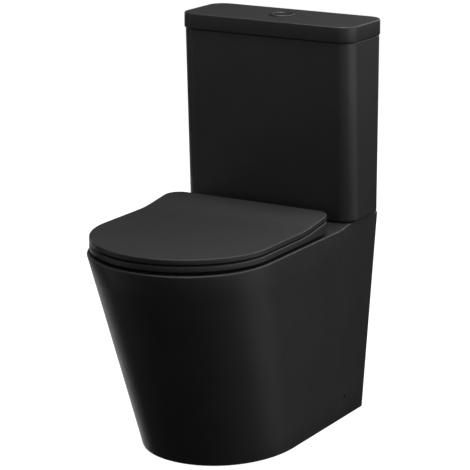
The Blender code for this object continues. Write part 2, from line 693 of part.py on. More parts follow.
# ---------------------------------------------------------------- fill valve
def build_fill_valve():
    centre = (FILL_X, wall(AXIS_D), 0)
    washer_top = TANK_FLOOR + 0.0020
    make_object("fill_valve_washer", ring_mesh(0.0112, 0.017, TANK_FLOOR + GAP, washer_top), RUBBER, centre)
    flange = washer_top + GAP
    profile = [(0, 0.674), (0.018, 0.674), (0.022, 0.669), (0.022, 0.644), (0.0125, 0.638),
               (0.0125, flange + 0.004), (0.018, flange + 0.004), (0.018, flange), (0.0104, flange),
               (0.0104, 0.376), (0.006, 0.376), (0.006, 0.60), (0, 0.60)]
    body = make_object("fill_valve_body", revolved(profile, FACETS_MEDIUM, False), WHITE_PLASTIC, centre)
    pivot_x, pivot_z = FILL_X + 0.030, 0.664
    cheeks = cheek_pair(FILL_X + 0.015, pivot_x + 0.004, pivot_z - 0.004, pivot_z + 0.004)
    combine(body, make_object("arm_cheeks_tool", cheeks), "UNION")
    bore = make_object("arm_pin_hole_cutter", along_y(rod_mesh(0.0016, -0.012, 0.012, FACETS_FINE)),
                       location=(pivot_x, wall(AXIS_D), pivot_z))
    combine(body, bore)
    build_lever("float_arm", (pivot_x, wall(AXIS_D), pivot_z), -0.006, 0.030)
    nut_top = TANK_BOTTOM - GAP
    nut = nut_mesh(0.0145, 0.0107, nut_top - 0.010, nut_top)
    make_object("fill_valve_backnut", nut, WHITE_PLASTIC, centre)

    float_axis = make_axis("fill_float_axis", (FILL_X, wall(AXIS_D), 0.585))
    cup = revolved([(0.0140, 0.555), (0.026, 0.555), (0.027, 0.556), (0.027, 0.615), (0.0140, 0.615)],
                   FACETS_MEDIUM, True)
    cup = make_object("fill_float", cup, BLUE_PLASTIC, centre, float_axis)
    link_x = pivot_x + 0.026
    ear = bar_tool("float_ear_tool", (FILL_X + 0.024, AXIS_D + 0.003, 0.584),
                   (link_x, AXIS_D - 0.003, 0.588), float_axis)
    combine(cup, ear, "UNION")
    link = make_object("float_link_tool", rod_mesh(0.0018, 0.582, pivot_z - 0.003, FACETS_FINE), None,
                       (link_x, wall(AXIS_D), 0), float_axis)
    combine(cup, link, "UNION")


# ---------------------------------------------------------------- cistern to pan coupling
def build_coupling():
    for side, sign in SIDES.items():
        centre = (sign * BOLT_X, wall(AXIS_D), 0)
        cone_top = TANK_FLOOR + 0.0045
        cone = revolved([(0.0044, TANK_FLOOR + GAP), (0.0115, TANK_FLOOR + GAP), (0.0080, cone_top),
                         (0.0044, cone_top)], FACETS_SMALL, True)
        make_object(f"bolt_cone_washer_{side}", cone, RUBBER, centre)
        head = cone_top + GAP
        bolt = revolved([(0, 0.352), (0.0032, 0.352), (0.004, 0.353), (0.004, head), (0.0085, head),
                         (0.0085, head + 0.004), (0.0075, head + 0.005), (0, head + 0.005)],
                        FACETS_SMALL, False)
        bolt = make_object(f"coupling_bolt_{side}", bolt, BRASS, centre)
        slot = box_mesh((-0.02, -0.0009, head + 0.003), (0.02, 0.0009, head + 0.01))
        combine(bolt, make_object(f"bolt_slot_cutter_{side}", slot, location=centre))
        pad = ring_mesh(0.0044, 0.0125, PLATFORM_Z + GAP, TANK_BOTTOM - GAP, FACETS_SMALL)
        make_object(f"tank_pad_{side}", pad, RUBBER, centre)
        washer_low = CAVITY_TOP - 0.0035
        washer = ring_mesh(0.0044, 0.0110, washer_low, CAVITY_TOP - GAP, FACETS_SMALL)
        make_object(f"pan_washer_{side}", washer, RUBBER, centre)
        top = washer_low - GAP
        nut = ring_mesh(0.0043, 0.0080, top - 0.010, top, FACETS_SMALL)
        nut = make_object(f"wing_nut_{side}", nut, BRASS, centre)
        for wing in (-1, 1):
            low, high = sorted((wing * 0.0060, wing * 0.0170))
            blade = box_mesh((low, -0.0013, top - 0.0105 - 0.006), (high, 0.0013, top - 0.002))
            combine(nut, make_object(f"wing_tool_{side}_{wing + 1}", blade, location=centre), "UNION")


# ---------------------------------------------------------------- seat, lid and hinge
SEAT_STATIONS = [mix(0.226, 0.320, i / 5) for i in range(6)]
KNUCKLE_RADIUS = 0.0075
PIN_RADIUS = 0.003
DAMPER_RADIUS = 0.0055
RING_KNUCKLE = (0.0455, 0.0665)
POST_KNUCKLE = (0.0675, 0.0875)
COVER_KNUCKLE = (0.0885, 0.1085)
BORE_SPAN = (0.0435, 0.1130)
RING_NOTCH = (0.0665, 0.1135)
REAR_RELIEF = 0.0096


def seat_rise(d):
    """How far the lid and the seat sweep up towards the hinge."""
    return SEAT_RISE * smooth_step((RISE_START - d) / (RISE_START - SEAT_REAR))


def plate_mesh(bottom, top, edge, bottom_share):
    """A D-shaped plate with rounded edges. Its top sweeps up at the rear, its underside in part."""
    levels = ((edge, bottom, bottom_share), (0.0, bottom + edge, bottom_share), (0.0, top - edge, 1),
              (edge * 0.3, top - edge * 0.3, 1), (edge, top, 1))
    rings = []
    for inset, z, share in levels:
        outline = d_outline(SEAT_PLAN, SEAT_REAR, inset, SEAT_STATIONS, nose_steps=16)
        rings.append([(x, wall(d), z + share * seat_rise(d)) for x, d in outline])
    return lofted(rings, ladder=True)


def mirrored_span(span, sign):
    return tuple(sorted(sign * x for x in span))


def hinge_cylinder(radius, span, sign, steps=FACETS_SMALL):
    """A cylinder on the hinge's axis, on one side."""
    low, high = mirrored_span(span, sign)
    return moved(along_x(rod_mesh(radius, low, high, steps)), (0, wall(HINGE_D), HINGE_Z))


def keyhole(span, sign, web_half, web_top, steps=16):
    """A knuckle with a web that rises from it to the underside of the lid."""
    start = math.asin(web_half / KNUCKLE_RADIUS)
    profile = [(web_half, web_top), (-web_half, web_top)]
    for i in range(steps + 1):
        angle = mix(start, math.tau - start, i / steps)
        profile.append((-KNUCKLE_RADIUS * math.sin(angle), HINGE_Z + KNUCKLE_RADIUS * math.cos(angle)))
    rings = [[(x, wall(HINGE_D) + y, z) for y, z in profile] for x in mirrored_span(span, sign)]
    return lofted(rings)


def hinge_bores(wide_sign):
    """The pin's bore through both knuckles, wider on the side that holds the damper."""
    radii = {sign: (DAMPER_RADIUS if sign == wide_sign else PIN_RADIUS) + GAP for sign in (-1, 1)}
    return both_sides(lambda sign: hinge_cylinder(radii[sign], BORE_SPAN, sign))


def rear_relief():
    """Takes the ring's upper rear edge off, so that the lid's underside turns past it."""
    half, depth, height = SEAT_PLAN["half"], 0.006, 0.020
    tool = box_mesh((-half, -depth, REAR_RELIEF), (half, depth, height))
    bmesh.ops.rotate(tool, verts=tool.verts, matrix=Matrix.Rotation(-math.pi / 4, 3, "X"))
    return moved(tool, (0, wall(HINGE_D), HINGE_Z))


def notch_mesh(span, low, high):
    """Room in the ring's rear edge for a hinge post and the lid's knuckle."""
    return box_mesh((span[0], wall(HINGE_D + 0.0135), low), (span[1], wall(HINGE_D - 0.019), high))


def build_seat_ring(axis):
    ring = make_object("seat_ring", plate_mesh(RING_BOTTOM, RING_TOP, 0.003, 0), SEAT_PLASTIC, parent=axis)
    below, above = RIM_Z - 0.01, COVER_TOP + 0.02
    opening = lofted([egg_ring(**RING_HOLE, z=z) for z in (below, above)])
    notches = both_sides(lambda sign: notch_mesh(mirrored_span(RING_NOTCH, sign), below, above))
    combine(ring, make_object("seat_opening_cutter", gathered([opening, notches]), parent=axis))
    combine(ring, make_object("rear_relief_cutter", rear_relief(), parent=axis))
    combine(ring, make_object("ring_bores_cutter", hinge_bores(1), parent=axis))
    for side, sign in SIDES.items():
        for end, x, d in (("front", 0.142, 0.475), ("rear", 0.150, 0.330)):
            block = box_mesh((-0.006, -0.014, RIM_Z + GAP), (0.006, 0.014, RING_BOTTOM - GAP))
            place = (sign * x, wall(d), 0)
            round_edges(make_object(f"seat_buffer_{end}_{side}", block, RUBBER, place, axis), 0.002)


def round_edges(obj, width):
    bevel = obj.modifiers.new("edges", "BEVEL")
    bevel.width = width
    bevel.segments = 2


def build_seat_lid(axis):
    plate = plate_mesh(COVER_BOTTOM, COVER_TOP, 0.002, 1)
    cover = make_object("seat_lid", plate, SEAT_PLASTIC, parent=axis)
    web_top = COVER_BOTTOM + SEAT_RISE + 0.002
    knuckles = both_sides(lambda sign: keyhole(COVER_KNUCKLE, sign, 0.006, web_top))
    combine(cover, make_object("cover_knuckles_tool", knuckles, parent=axis), "UNION")
    combine(cover, make_object("cover_bores_cutter", hinge_bores(-1), parent=axis))
    for side, sign in SIDES.items():
        disc = rod_mesh(0.0055, RING_TOP + GAP, COVER_BOTTOM - GAP, FACETS_SMALL, 0.0006)
        make_object(f"lid_buffer_{side}", disc, RUBBER, (sign * 0.100, wall(0.520), 0), axis)


def build_hinge(seat_axis, lid_axis):
    for side, sign in SIDES.items():
        base = revolved([(0, RIM_Z + GAP), (0.021, RIM_Z + GAP), (0.021, RIM_Z + 0.0018),
                         (0.0195, RIM_Z + 0.0030), (0.0075, RIM_Z + 0.0030), (0.0070, HINGE_Z),
                         (0, HINGE_Z)], FACETS_MEDIUM, False)
        post = make_object(f"hinge_post_{side}", base, STEEL, (sign * HINGE_X, wall(HINGE_D), 0))
        barrel = hinge_cylinder(0.0085, POST_KNUCKLE, sign)
        combine(post, make_object(f"post_barrel_tool_{side}", barrel), "UNION")
        bore = hinge_cylinder(PIN_RADIUS + GAP, (0.06, 0.095), sign)
        combine(post, make_object(f"post_bore_cutter_{side}", bore))
        shaft = revolved([(0, 0.044), (PIN_RADIUS, 0.044), (PIN_RADIUS, 0.1090), (0.005, 0.1090),
                          (0.005, 0.1115), (0, 0.1115)], FACETS_SMALL, False)
        bmesh.ops.rotate(shaft, verts=shaft.verts, matrix=Matrix.Rotation(sign * math.pi / 2, 3, "Y"))
        make_object(f"hinge_pin_{side}", shaft, STEEL, (0, wall(HINGE_D), HINGE_Z))

        centre = (sign * HINGE_X, wall(HINGE_D), 0)
        stud = rod_mesh(0.004, 0.362, RIM_Z, FACETS_SMALL, 0.0006)
        make_object(f"hinge_stud_{side}", stud, STEEL, centre)
        plug = ring_mesh(0.0043, 0.0067, 0.376, RIM_Z - GAP, FACETS_SMALL)
        make_object(f"hinge_plug_{side}", plug, RUBBER, centre)
        make_object(f"hinge_nut_{side}", nut_mesh(0.0065, 0.0043, 0.3692, 0.3757), STEEL, centre)

    sleeves = (("lid_damper", COVER_KNUCKLE, -1, lid_axis), ("seat_damper", RING_KNUCKLE, 1, seat_axis))
    for name, span, sign, axis in sleeves:
        low, high = mirrored_span(span, sign)
        sleeve = ring_mesh(PIN_RADIUS + GAP, DAMPER_RADIUS, low + 0.001, high - 0.001, FACETS_SMALL)
        make_object(name, along_x(sleeve), TRIM_PLASTIC, (0, wall(HINGE_D), HINGE_Z), axis)


# ---------------------------------------------------------------- floor fixing
def build_floor_fixing():
    foot_half = PAN_FOOT["half"] - PAN_WALL
    plate_x = foot_half - 0.0015
    for side, sign in SIDES.items():
        low, high = sorted((sign * (plate_x - 0.004), sign * plate_x))
        bracket = bar_tool(f"floor_bracket_{side}", (low, FIXING_D + 0.018, 0.0005),
                           (high, FIXING_D - 0.018, 0.066))
        bracket.data.materials.append(STEEL)
        low, high = sorted((sign * (plate_x - 0.040), sign * (plate_x - 0.001)))
        foot = bar_tool(f"bracket_foot_tool_{side}", (low, FIXING_D + 0.018, 0.0005),
                        (high, FIXING_D - 0.018, 0.0045))
        combine(bracket, foot, "UNION")
        holes = ((f"bracket_side_hole_{side}", along_x(rod_mesh(0.0032, -0.01, 0.01)),
                  (sign * (plate_x - 0.002), wall(FIXING_D), FIXING_Z)),
                 (f"bracket_floor_hole_{side}", rod_mesh(0.0035, -0.01, 0.01),
                  (sign * (plate_x - 0.024), wall(FIXING_D), 0)))
        for name, hole, place in holes:
            combine(bracket, make_object(name, hole, location=place))
        head = 0.1535
        screw = revolved([(0, 0.120), (0.0010, 0.120), (0.0027, 0.124), (0.0027, head - 0.003),
                          (0.0044, head - 0.001), (0.0044, head), (0, head)], FACETS_SMALL, False)
        bmesh.ops.rotate(screw, verts=screw.verts, matrix=Matrix.Rotation(sign * math.pi / 2, 3, "Y"))
        make_object(f"side_screw_{side}", screw, STEEL, (0, wall(FIXING_D), FIXING_Z))


# ---------------------------------------------------------------- the whole toilet
build_pan()
build_tank()
cistern_lid_axis = make_axis("cistern_lid_axis", (0, wall(AXIS_D), LID_UNDERSIDE))
build_cistern_lid(cistern_lid_axis)
build_button_unit(cistern_lid_axis)
build_flush_valve()
build_fill_valve()
build_coupling()
seat_hinge_axis = make_axis("seat_hinge_axis", (0, wall(HINGE_D), HINGE_Z))
lid_hinge_axis = make_axis("lid_hinge_axis", (0, wall(HINGE_D), HINGE_Z))
build_seat_ring(seat_hinge_axis)
build_seat_lid(lid_hinge_axis)
build_hinge(seat_hinge_axis, lid_hinge_axis)
build_floor_fixing()
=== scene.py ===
"""Looks of the close coupled toilet: fine ceramic and plastic shells, small parts, lights and camera."""
import json
import math

import bmesh
import bpy
from mathutils import Matrix, Vector


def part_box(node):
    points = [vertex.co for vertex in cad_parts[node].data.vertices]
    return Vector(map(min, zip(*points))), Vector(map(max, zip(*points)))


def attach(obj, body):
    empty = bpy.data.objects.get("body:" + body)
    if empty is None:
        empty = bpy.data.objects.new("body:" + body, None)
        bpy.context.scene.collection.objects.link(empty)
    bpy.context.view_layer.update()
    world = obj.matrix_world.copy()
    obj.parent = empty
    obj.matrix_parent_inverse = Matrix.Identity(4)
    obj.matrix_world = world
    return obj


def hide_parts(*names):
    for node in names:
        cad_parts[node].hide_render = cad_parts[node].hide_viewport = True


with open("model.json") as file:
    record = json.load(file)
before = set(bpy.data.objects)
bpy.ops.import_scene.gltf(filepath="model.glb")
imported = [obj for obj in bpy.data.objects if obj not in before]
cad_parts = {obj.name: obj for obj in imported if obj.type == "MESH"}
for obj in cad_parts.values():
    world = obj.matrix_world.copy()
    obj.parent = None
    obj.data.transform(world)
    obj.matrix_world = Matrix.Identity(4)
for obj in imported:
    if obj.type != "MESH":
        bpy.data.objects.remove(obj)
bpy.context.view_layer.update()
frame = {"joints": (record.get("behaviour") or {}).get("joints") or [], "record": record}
BODIES = frame["record"]["behaviour"]["bodies"]
BODY_OF = {node: body for body, nodes in BODIES.items() for node in nodes}
SLOT_OF = {part["node"]: part["material_slot"] for part in frame["record"]["subparts"]}

# ---------------------------------------------------------------- sizes read from the frame
PAN_LOW, PAN_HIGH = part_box("pan")
TANK_LOW, TANK_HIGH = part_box("cistern_tank")
LID_LOW, LID_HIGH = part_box("cistern_lid")
RING_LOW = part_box("seat_ring")[0]
COVER_LOW, COVER_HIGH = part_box("seat_lid")
HEIGHT = LID_HIGH.z
BACK_Y = PAN_HIGH.y
DEPTH = PAN_HIGH.y - PAN_LOW.y
PLATFORM_Z = PAN_HIGH.z
AXIS_D = BACK_Y - (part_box("button_bezel")[0].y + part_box("button_bezel")[1].y) / 2
BOLT_X = (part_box("coupling_bolt_right")[0].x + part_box("coupling_bolt_right")[1].x) / 2
FILL_X = (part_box("fill_valve_washer")[0].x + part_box("fill_valve_washer")[1].x) / 2
HINGE_X = (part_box("hinge_stud_right")[0].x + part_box("hinge_stud_right")[1].x) / 2
HINGE_JOINT = next(joint for joint in frame["joints"] if joint["name"] == "seat_hinge")
HINGE_D = BACK_Y - HINGE_JOINT["pos_m"][1]
HINGE_Z = HINGE_JOINT["pos_m"][2]
FIXING_LOW, FIXING_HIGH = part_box("side_screw_right")
FIXING_D = BACK_Y - (FIXING_LOW.y + FIXING_HIGH.y) / 2
FIXING_Z = (FIXING_LOW.z + FIXING_HIGH.z) / 2

# gap between touching pieces, edge rounding of small parts, facets of a round shape, sign of each side
GAP = 0.0003
SOFT = 0.0005
FACETS = 48
SIDES = {"left": -1, "right": 1}

# ---------------------------------------------------------------- shape of the ceramic
RIM_DROP = 0.0051
RIM_Z = PLATFORM_Z - RIM_DROP
RAMP = (0.120, 0.166)
PAN_TOP = {"half": PAN_HIGH.x, "straight": 0.422, "tip": DEPTH, "power": 2.142, "corner": 0.0115}
PAN_FOOT = {"half": 0.1528, "straight": 0.2872, "tip": 0.4707, "power": 2.068, "corner": 0.006}
PAN_WALL = 0.013
PAN_EDGE = 0.003
FOOT_EDGE = 0.0015
CAVITY_TOP = 0.388
BOWL_WALL = 0.012
BOWL_LIP = 0.007
TRAP_WALL = 0.010
WELL_RADIUS = 0.050
WELL_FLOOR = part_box("doughnut_seal")[0].z - GAP
TANK_WALL = 0.009
TANK_FLOOR = TANK_LOW.z + 0.010
TANK_CORNER = 0.032
TANK_FRONT_BOTTOM = 0.1313
TANK_FRONT_TOP = BACK_Y - TANK_LOW.y
TANK_REAR = BACK_Y - TANK_HIGH.y
LID_FRONT = BACK_Y - LID_LOW.y
LID_CORNER = 0.0332
LID_UNDERSIDE = LID_HIGH.z - 0.0302

# ---------------------------------------------------------------- shape of the seat
SEAT_REAR = BACK_Y - COVER_HIGH.y
SEAT_PLAN = {"half": COVER_HIGH.x, "straight": 0.436, "tip": BACK_Y - COVER_LOW.y, "power": 1.974,
             "corner": 0.034}
SEAT_RISE = 0.0121
RISE_START = 0.314
COVER_TOP = COVER_HIGH.z - SEAT_RISE
COVER_BOTTOM = COVER_TOP - 0.0101
RING_TOP = HINGE_Z - 0.0041
RING_BOTTOM = RING_LOW.z
RING_HOLE = {"half": 0.107, "rear": 0.285, "front": 0.548}
KNUCKLE_RADIUS = 0.0075
RING_KNUCKLE = (0.0455, 0.0665)
COVER_KNUCKLE = (0.0885, 0.1085)
PIN_GAP_RADIUS = 0.0033
DAMPER_GAP_RADIUS = 0.0058
BORE_SPAN = (0.0435, 0.1130)
RING_NOTCH = (0.0665, 0.1135)
REAR_RELIEF = 0.0096

# ---------------------------------------------------------------- inside the cistern
# an x is that of the right side unless it is negative, and heights are taken from the floor
ROD_X = 0.011
ROCKER_PIVOT_X = 0.025
ROCKER_Z = 0.710
ROCKER_ENDS = (0.006, 0.048)
HOOK_X = 0.045
FLOAT_X = -0.053
FILL_PIVOT = (FILL_X + 0.030, 0.664)
CAGE_HEAD = 0.695
SLEEVE_FOOT = 0.655
TUBE_TOP = 0.672
ARM_FOOT = 0.597
WALL_HOLE_X = 0.11
WALL_HOLE_Z = 0.715


def wall(d):
    """The y of a point that lies a distance d forward of the wall."""
    return BACK_Y - d


def mix(a, b, t):
    return a + (b - a) * t


def smooth_step(t):
    t = min(max(t, 0.0), 1.0)
    return t * t * (3 - 2 * t)


# ---------------------------------------------------------------- materials
class Graph:
    """A short way to write a material's nodes."""

    def __init__(self, name, colour, roughness, metallic=0.0):
        self.material = bpy.data.materials.new(name)
        self.material.use_nodes = True
        self.tree = self.material.node_tree
        self.shader = self.tree.nodes["Principled BSDF"]
        self.shader.inputs["Base Color"].default_value = (*colour, 1.0)
        self.shader.inputs["Roughness"].default_value = roughness
        self.shader.inputs["Metallic"].default_value = metallic
        self.place = self.tree.nodes.new("ShaderNodeTexCoord").outputs["Object"]

    def link(self, source, target):
        self.tree.links.new(source, target)

    def noise(self, scale, detail=2.0, stretch=(1, 1, 1), roughness=0.5):
        mapping = self.tree.nodes.new("ShaderNodeMapping")
        mapping.inputs["Scale"].default_value = stretch
        self.link(self.place, mapping.inputs["Vector"])
        texture = self.tree.nodes.new("ShaderNodeTexNoise")
        texture.inputs["Scale"].default_value = scale
        texture.inputs["Detail"].default_value = detail
        texture.inputs["Roughness"].default_value = roughness
        self.link(mapping.outputs["Vector"], texture.inputs["Vector"])
        return texture.outputs["Fac"]

    def spread(self, value, low, high, start=0.3, end=0.7):
        """Turn a noise into a number between low and high."""
        node = self.tree.nodes.new("ShaderNodeMapRange")
        node.inputs["From Min"].default_value = start
        node.inputs["From Max"].default_value = end
        node.inputs["To Min"].default_value = low
        node.inputs["To Max"].default_value = high
        self.link(value, node.inputs["Value"])
        return node.outputs["Result"]

    def colours(self, value, first, second, start=0.35, end=0.65):
        ramp = self.tree.nodes.new("ShaderNodeValToRGB")
        ramp.color_ramp.elements[0].position = start
        ramp.color_ramp.elements[0].color = (*first, 1.0)
        ramp.color_ramp.elements[1].position = end
        ramp.color_ramp.elements[1].color = (*second, 1.0)
        self.link(value, ramp.inputs["Fac"])
        self.link(ramp.outputs["Color"], self.shader.inputs["Base Color"])

    def rough(self, value):
        self.link(value, self.shader.inputs["Roughness"])

    def bump(self, value, distance, strength=1.0, after=None):
        node = self.tree.nodes.new("ShaderNodeBump")
        node.inputs["Distance"].default_value = distance
        node.inputs["Strength"].default_value = strength
        self.link(value, node.inputs["Height"])
        if after:
            self.link(after, node.inputs["Normal"])
        self.link(node.outputs["Normal"], self.shader.inputs["Normal"])
        return node.outputs["Normal"]


def glaze_material():
    """Satin black glaze: a faint mottle, fine orange peel and slightly uneven gloss."""
    g = Graph("black_glaze", (0.020, 0.020, 0.0205), 0.50)
    g.colours(g.noise(14, 4), (0.0185, 0.0185, 0.0190), (0.0215, 0.0215, 0.0220))
    g.rough(g.spread(g.noise(85, 3), 0.47, 0.53))
    waves = g.bump(g.noise(160, 2), 0.00006, 0.6)
    g.bump(g.noise(900, 2), 0.00002, 0.6, waves)
    return g.material


def seat_material():
    """Matte black moulded seat plastic with a fine spark-eroded grain."""
    g = Graph("black_seat_plastic", (0.020, 0.020, 0.0205), 0.50)
    g.colours(g.noise(30, 3), (0.0190, 0.0190, 0.0195), (0.0210, 0.0210, 0.0215))
    g.rough(g.spread(g.noise(220, 2), 0.47, 0.53))
    g.bump(g.noise(2600, 2), 0.00002, 0.8)
    return g.material


def moulded_material(name, dark, light, roughness):
    """Plain moulded plastic with faint flow marks."""
    g = Graph(name, light, roughness)
    g.colours(g.noise(45, 3, (1, 1, 0.3)), dark, light)
    g.rough(g.spread(g.noise(300, 2), roughness - 0.05, roughness + 0.05))
    g.bump(g.noise(1100, 2), 0.00003, 0.6)
    return g.material


def rubber_material():
    g = Graph("black_rubber", (0.014, 0.014, 0.014), 0.72)
    g.colours(g.noise(240, 4), (0.011, 0.011, 0.011), (0.022, 0.022, 0.021))
    g.rough(g.spread(g.noise(420, 3), 0.64, 0.82))
    g.bump(g.noise(1500, 3), 0.00006, 0.8)
    return g.material


def metal_material(name, dark, light, roughness, grain):
    """Drawn or turned metal: fine streaks along the bar and small scratches."""
    g = Graph(name, light, roughness, 1.0)
    g.colours(g.noise(90, 4), dark, light)
    g.rough(g.spread(g.noise(700, 3, grain), roughness - 0.07, roughness + 0.10))
    g.bump(g.noise(1800, 2, grain), 0.00002, 0.5)
    return g.material


GLAZE = glaze_material()
SEAT_PLASTIC = seat_material()
TRIM = moulded_material("black_trim_plastic", (0.014, 0.014, 0.014), (0.018, 0.018, 0.018), 0.43)
WHITE = moulded_material("white_valve_plastic", (0.70, 0.71, 0.70), (0.80, 0.80, 0.79), 0.38)
BLUE = moulded_material("blue_float_plastic", (0.07, 0.17, 0.38), (0.10, 0.22, 0.46), 0.40)
RUBBER = rubber_material()
STEEL = metal_material("stainless_steel", (0.48, 0.48, 0.49), (0.60, 0.60, 0.61), 0.26, (1, 1, 0.05))
BRASS = metal_material("brass", (0.55, 0.38, 0.14), (0.74, 0.54, 0.24), 0.30, (1, 1, 0.1))
BY_SLOT = {"ceramic": GLAZE, "seat_plastic": SEAT_PLASTIC, "trim_plastic": TRIM, "valve_plastic": WHITE,
           "float_plastic": BLUE, "rubber": RUBBER, "steel": STEEL, "brass": BRASS}


# ---------------------------------------------------------------- mesh tools
def is_flat(face):
    origin = face.verts[0].co
    return all(abs((vert.co - origin).dot(face.normal)) < 1e-7 for vert in face.verts)


def make_object(name, bm):
    """Close a mesh into an object of the scene."""
    bmesh.ops.recalc_face_normals(bm, faces=bm.faces)
    bent = [face for face in bm.faces if len(face.verts) > 4 and not is_flat(face)]
    bmesh.ops.triangulate(bm, faces=bent)
    mesh = bpy.data.meshes.new(name)
    bm.to_mesh(mesh)
    bm.free()
    obj = bpy.data.objects.new(name, mesh)
    bpy.context.collection.objects.link(obj)
    return obj


def shade(obj, degrees=35):
    obj.data.shade_smooth()
    obj.data.set_sharp_from_angle(angle=math.radians(degrees))
    return obj


def shaped(name, base, *steps):
    """A base mesh that is cut or joined by tools in turn: each step is (operation, tool mesh)."""
    obj = make_object(name, base)
    tools = []
    for index, (operation, tool_mesh) in enumerate(steps):
        tool = make_object(f"{name}_tool_{index}", tool_mesh)
        modifier = obj.modifiers.new(tool.name, "BOOLEAN")
        modifier.operation = operation
        modifier.solver = "EXACT"
        modifier.object = tool
        tools.append(tool)
    bpy.context.view_layer.update()
    evaluated = obj.evaluated_get(bpy.context.evaluated_depsgraph_get())
    result = bpy.data.meshes.new_from_object(evaluated)
    obj.modifiers.clear()
    obj.data = result
    for tool in tools:
        bpy.data.objects.remove(tool)
    result.name = name
    return shade(obj)


def stand_for(piece, *nodes):
    """Show a piece instead of CAD nodes, on their body and with their finish."""
    body = BODY_OF[nodes[0]]
    slot = SLOT_OF[nodes[0]]
    piece.data.materials.clear()
    piece.data.materials.append(BY_SLOT[slot])
    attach(piece, body)
    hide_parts(*nodes)


def gathered(meshes):
    """Several closed meshes as one."""
    whole = bmesh.new()
    for bm in meshes:
        mesh = bpy.data.meshes.new("gathered")
        bm.to_mesh(mesh)
        bm.free()
        whole.from_mesh(mesh)
        bpy.data.meshes.remove(mesh)
    return whole


def moved(bm, offset):
    bmesh.ops.translate(bm, vec=offset, verts=bm.verts)
    return bm


def seated(bm, x, d=AXIS_D):
    """Stand a mesh at x, a distance d from the wall: on the valves' line if none is given."""
    return moved(bm, (x, wall(d), 0))


def both_sides(make):
    """One mesh for the left and one for the right, as one: make takes the side's sign."""
    return gathered([make(-1), make(1)])


def lofted(rings, closed=False, ladder=False):
    """Bridge rings of equal length; the end caps are one face each, or a ladder across x = 0."""
    bm = bmesh.new()
    rows = [[bm.verts.new(point) for point in ring] for ring in rings]
    count = len(rows[0])
    pairs = list(zip(rows, rows[1:]))
    if closed:
        pairs.append((rows[-1], rows[0]))
    for low, high in pairs:
        for i in range(count):
            j = (i + 1) % count
            bm.faces.new((low[i], low[j], high[j], high[i]))
    if closed:
        return bm
    for row in (rows[0], rows[-1]):
        if ladder:
            ladder_cap(bm, row)
        else:
            bm.faces.new(row)
    return bm


def ladder_cap(bm, row):
    """Fill a ring that is symmetric about x = 0 with strips that run from side to side."""
    last = len(row) - 1
    for i in range(last // 2):
        corners = (row[i], row[i + 1], row[last - i - 1], row[last - i])
        bm.faces.new(list(dict.fromkeys(corners)))


def revolved(profile, closed, steps=FACETS):
    """Turn a profile of (radius, z) points about Z."""
    bm = bmesh.new()
    turns = [math.tau * i / steps for i in range(steps)]
    rows = []
    for radius, z in profile:
        if radius < 1e-7:
            rows.append([bm.verts.new((0, 0, z))] * steps)
        else:
            rows.append([bm.verts.new((radius * math.cos(a), radius * math.sin(a), z)) for a in turns])
    pairs = list(zip(rows, rows[1:]))
    if closed:
        pairs.append((rows[-1], rows[0]))
    for low, high in pairs:
        for i in range(steps):
            j = (i + 1) % steps
            corners = list(dict.fromkeys((low[i], low[j], high[j], high[i])))
            if len(corners) > 2:
                bm.faces.new(corners)
    return bm


def rod_mesh(radius, low, high, steps=FACETS):
    return revolved([(0, low), (radius, low), (radius, high), (0, high)], False, steps)


def along_x(bm):
    bmesh.ops.rotate(bm, verts=bm.verts, matrix=Matrix.Rotation(math.pi / 2, 3, "Y"))
    return bm


def along_y(bm):
    bmesh.ops.rotate(bm, verts=bm.verts, matrix=Matrix.Rotation(math.pi / 2, 3, "X"))
    return bm


def box_mesh(low, high):
    bm = bmesh.new()
    bmesh.ops.create_cube(bm, size=1.0)
    bmesh.ops.scale(bm, vec=Vector(high) - Vector(low), verts=bm.verts)
    bmesh.ops.translate(bm, vec=(Vector(high) + Vector(low)) / 2, verts=bm.verts)
    return bm


# ---------------------------------------------------------------- outlines
def d_outline(plan, rear, inset=0.0, stations=(), arc_steps=10, nose_steps=56):
    """The (x, d) points of a D in plan: right side from the rear to the tip, then the left side."""
    half = plan["half"] - inset
    corner = max(plan["corner"] - inset, 0.0005)
    tip = plan["tip"] - inset
    rear = rear + inset
    right = []
    for i in range(arc_steps + 1):
        angle = math.pi / 2 * i / arc_steps
        right.append((half - corner + corner * math.sin(angle), rear + corner - corner * math.cos(angle)))
    right += [(half, d) for d in stations]
    exponent = 2 / plan["power"]
    for i in range(nose_steps + 1):
        angle = math.pi / 2 * i / nose_steps
        nose = plan["straight"] + (tip - plan["straight"]) * math.sin(angle) ** exponent
        right.append((half * max(math.cos(angle), 0.0) ** exponent if i < nose_steps else 0.0, nose))
    left = [(-x, d) for x, d in reversed(right[:-1])]
    return right + left


def egg_ring(half, rear, front, z, steps=96, widest=0.45, power=2.2):
    """A closed egg in plan, widest nearer its rear end."""
    middle = mix(rear, front, widest)
    ring = []
    for i in range(steps):
        angle = math.tau * i / steps
        side = math.copysign(abs(math.cos(angle)) ** (2 / power), math.cos(angle))
        reach = math.copysign(abs(math.sin(angle)) ** (2 / power), math.sin(angle))
        length = front - middle if reach > 0 else middle - rear
        ring.append((half * side, wall(middle + length * reach), z))
    return ring


def box_ring(half, rear, front, corner, z, arc_steps=14):
    """A rounded rectangle in plan."""
    ring = []
    centres = ((half - corner, rear + corner, -90), (half - corner, front - corner, 0),
               (-half + corner, front - corner, 90), (-half + corner, rear + corner, 180))
    for x, d, start in centres:
        for i in range(arc_steps + 1):
            angle = math.radians(start + 90 * i / arc_steps)
            ring.append((x + corner * math.cos(angle), wall(d + corner * math.sin(angle)), z))
    return ring


def edge_steps(radius, count):
    """(inset, drop) pairs that round an edge, from the side to the top."""
    angles = [math.pi / 2 * i / count for i in range(count + 1)]
    return [(radius * (1 - math.cos(a)), radius * (1 - math.sin(a))) for a in angles]


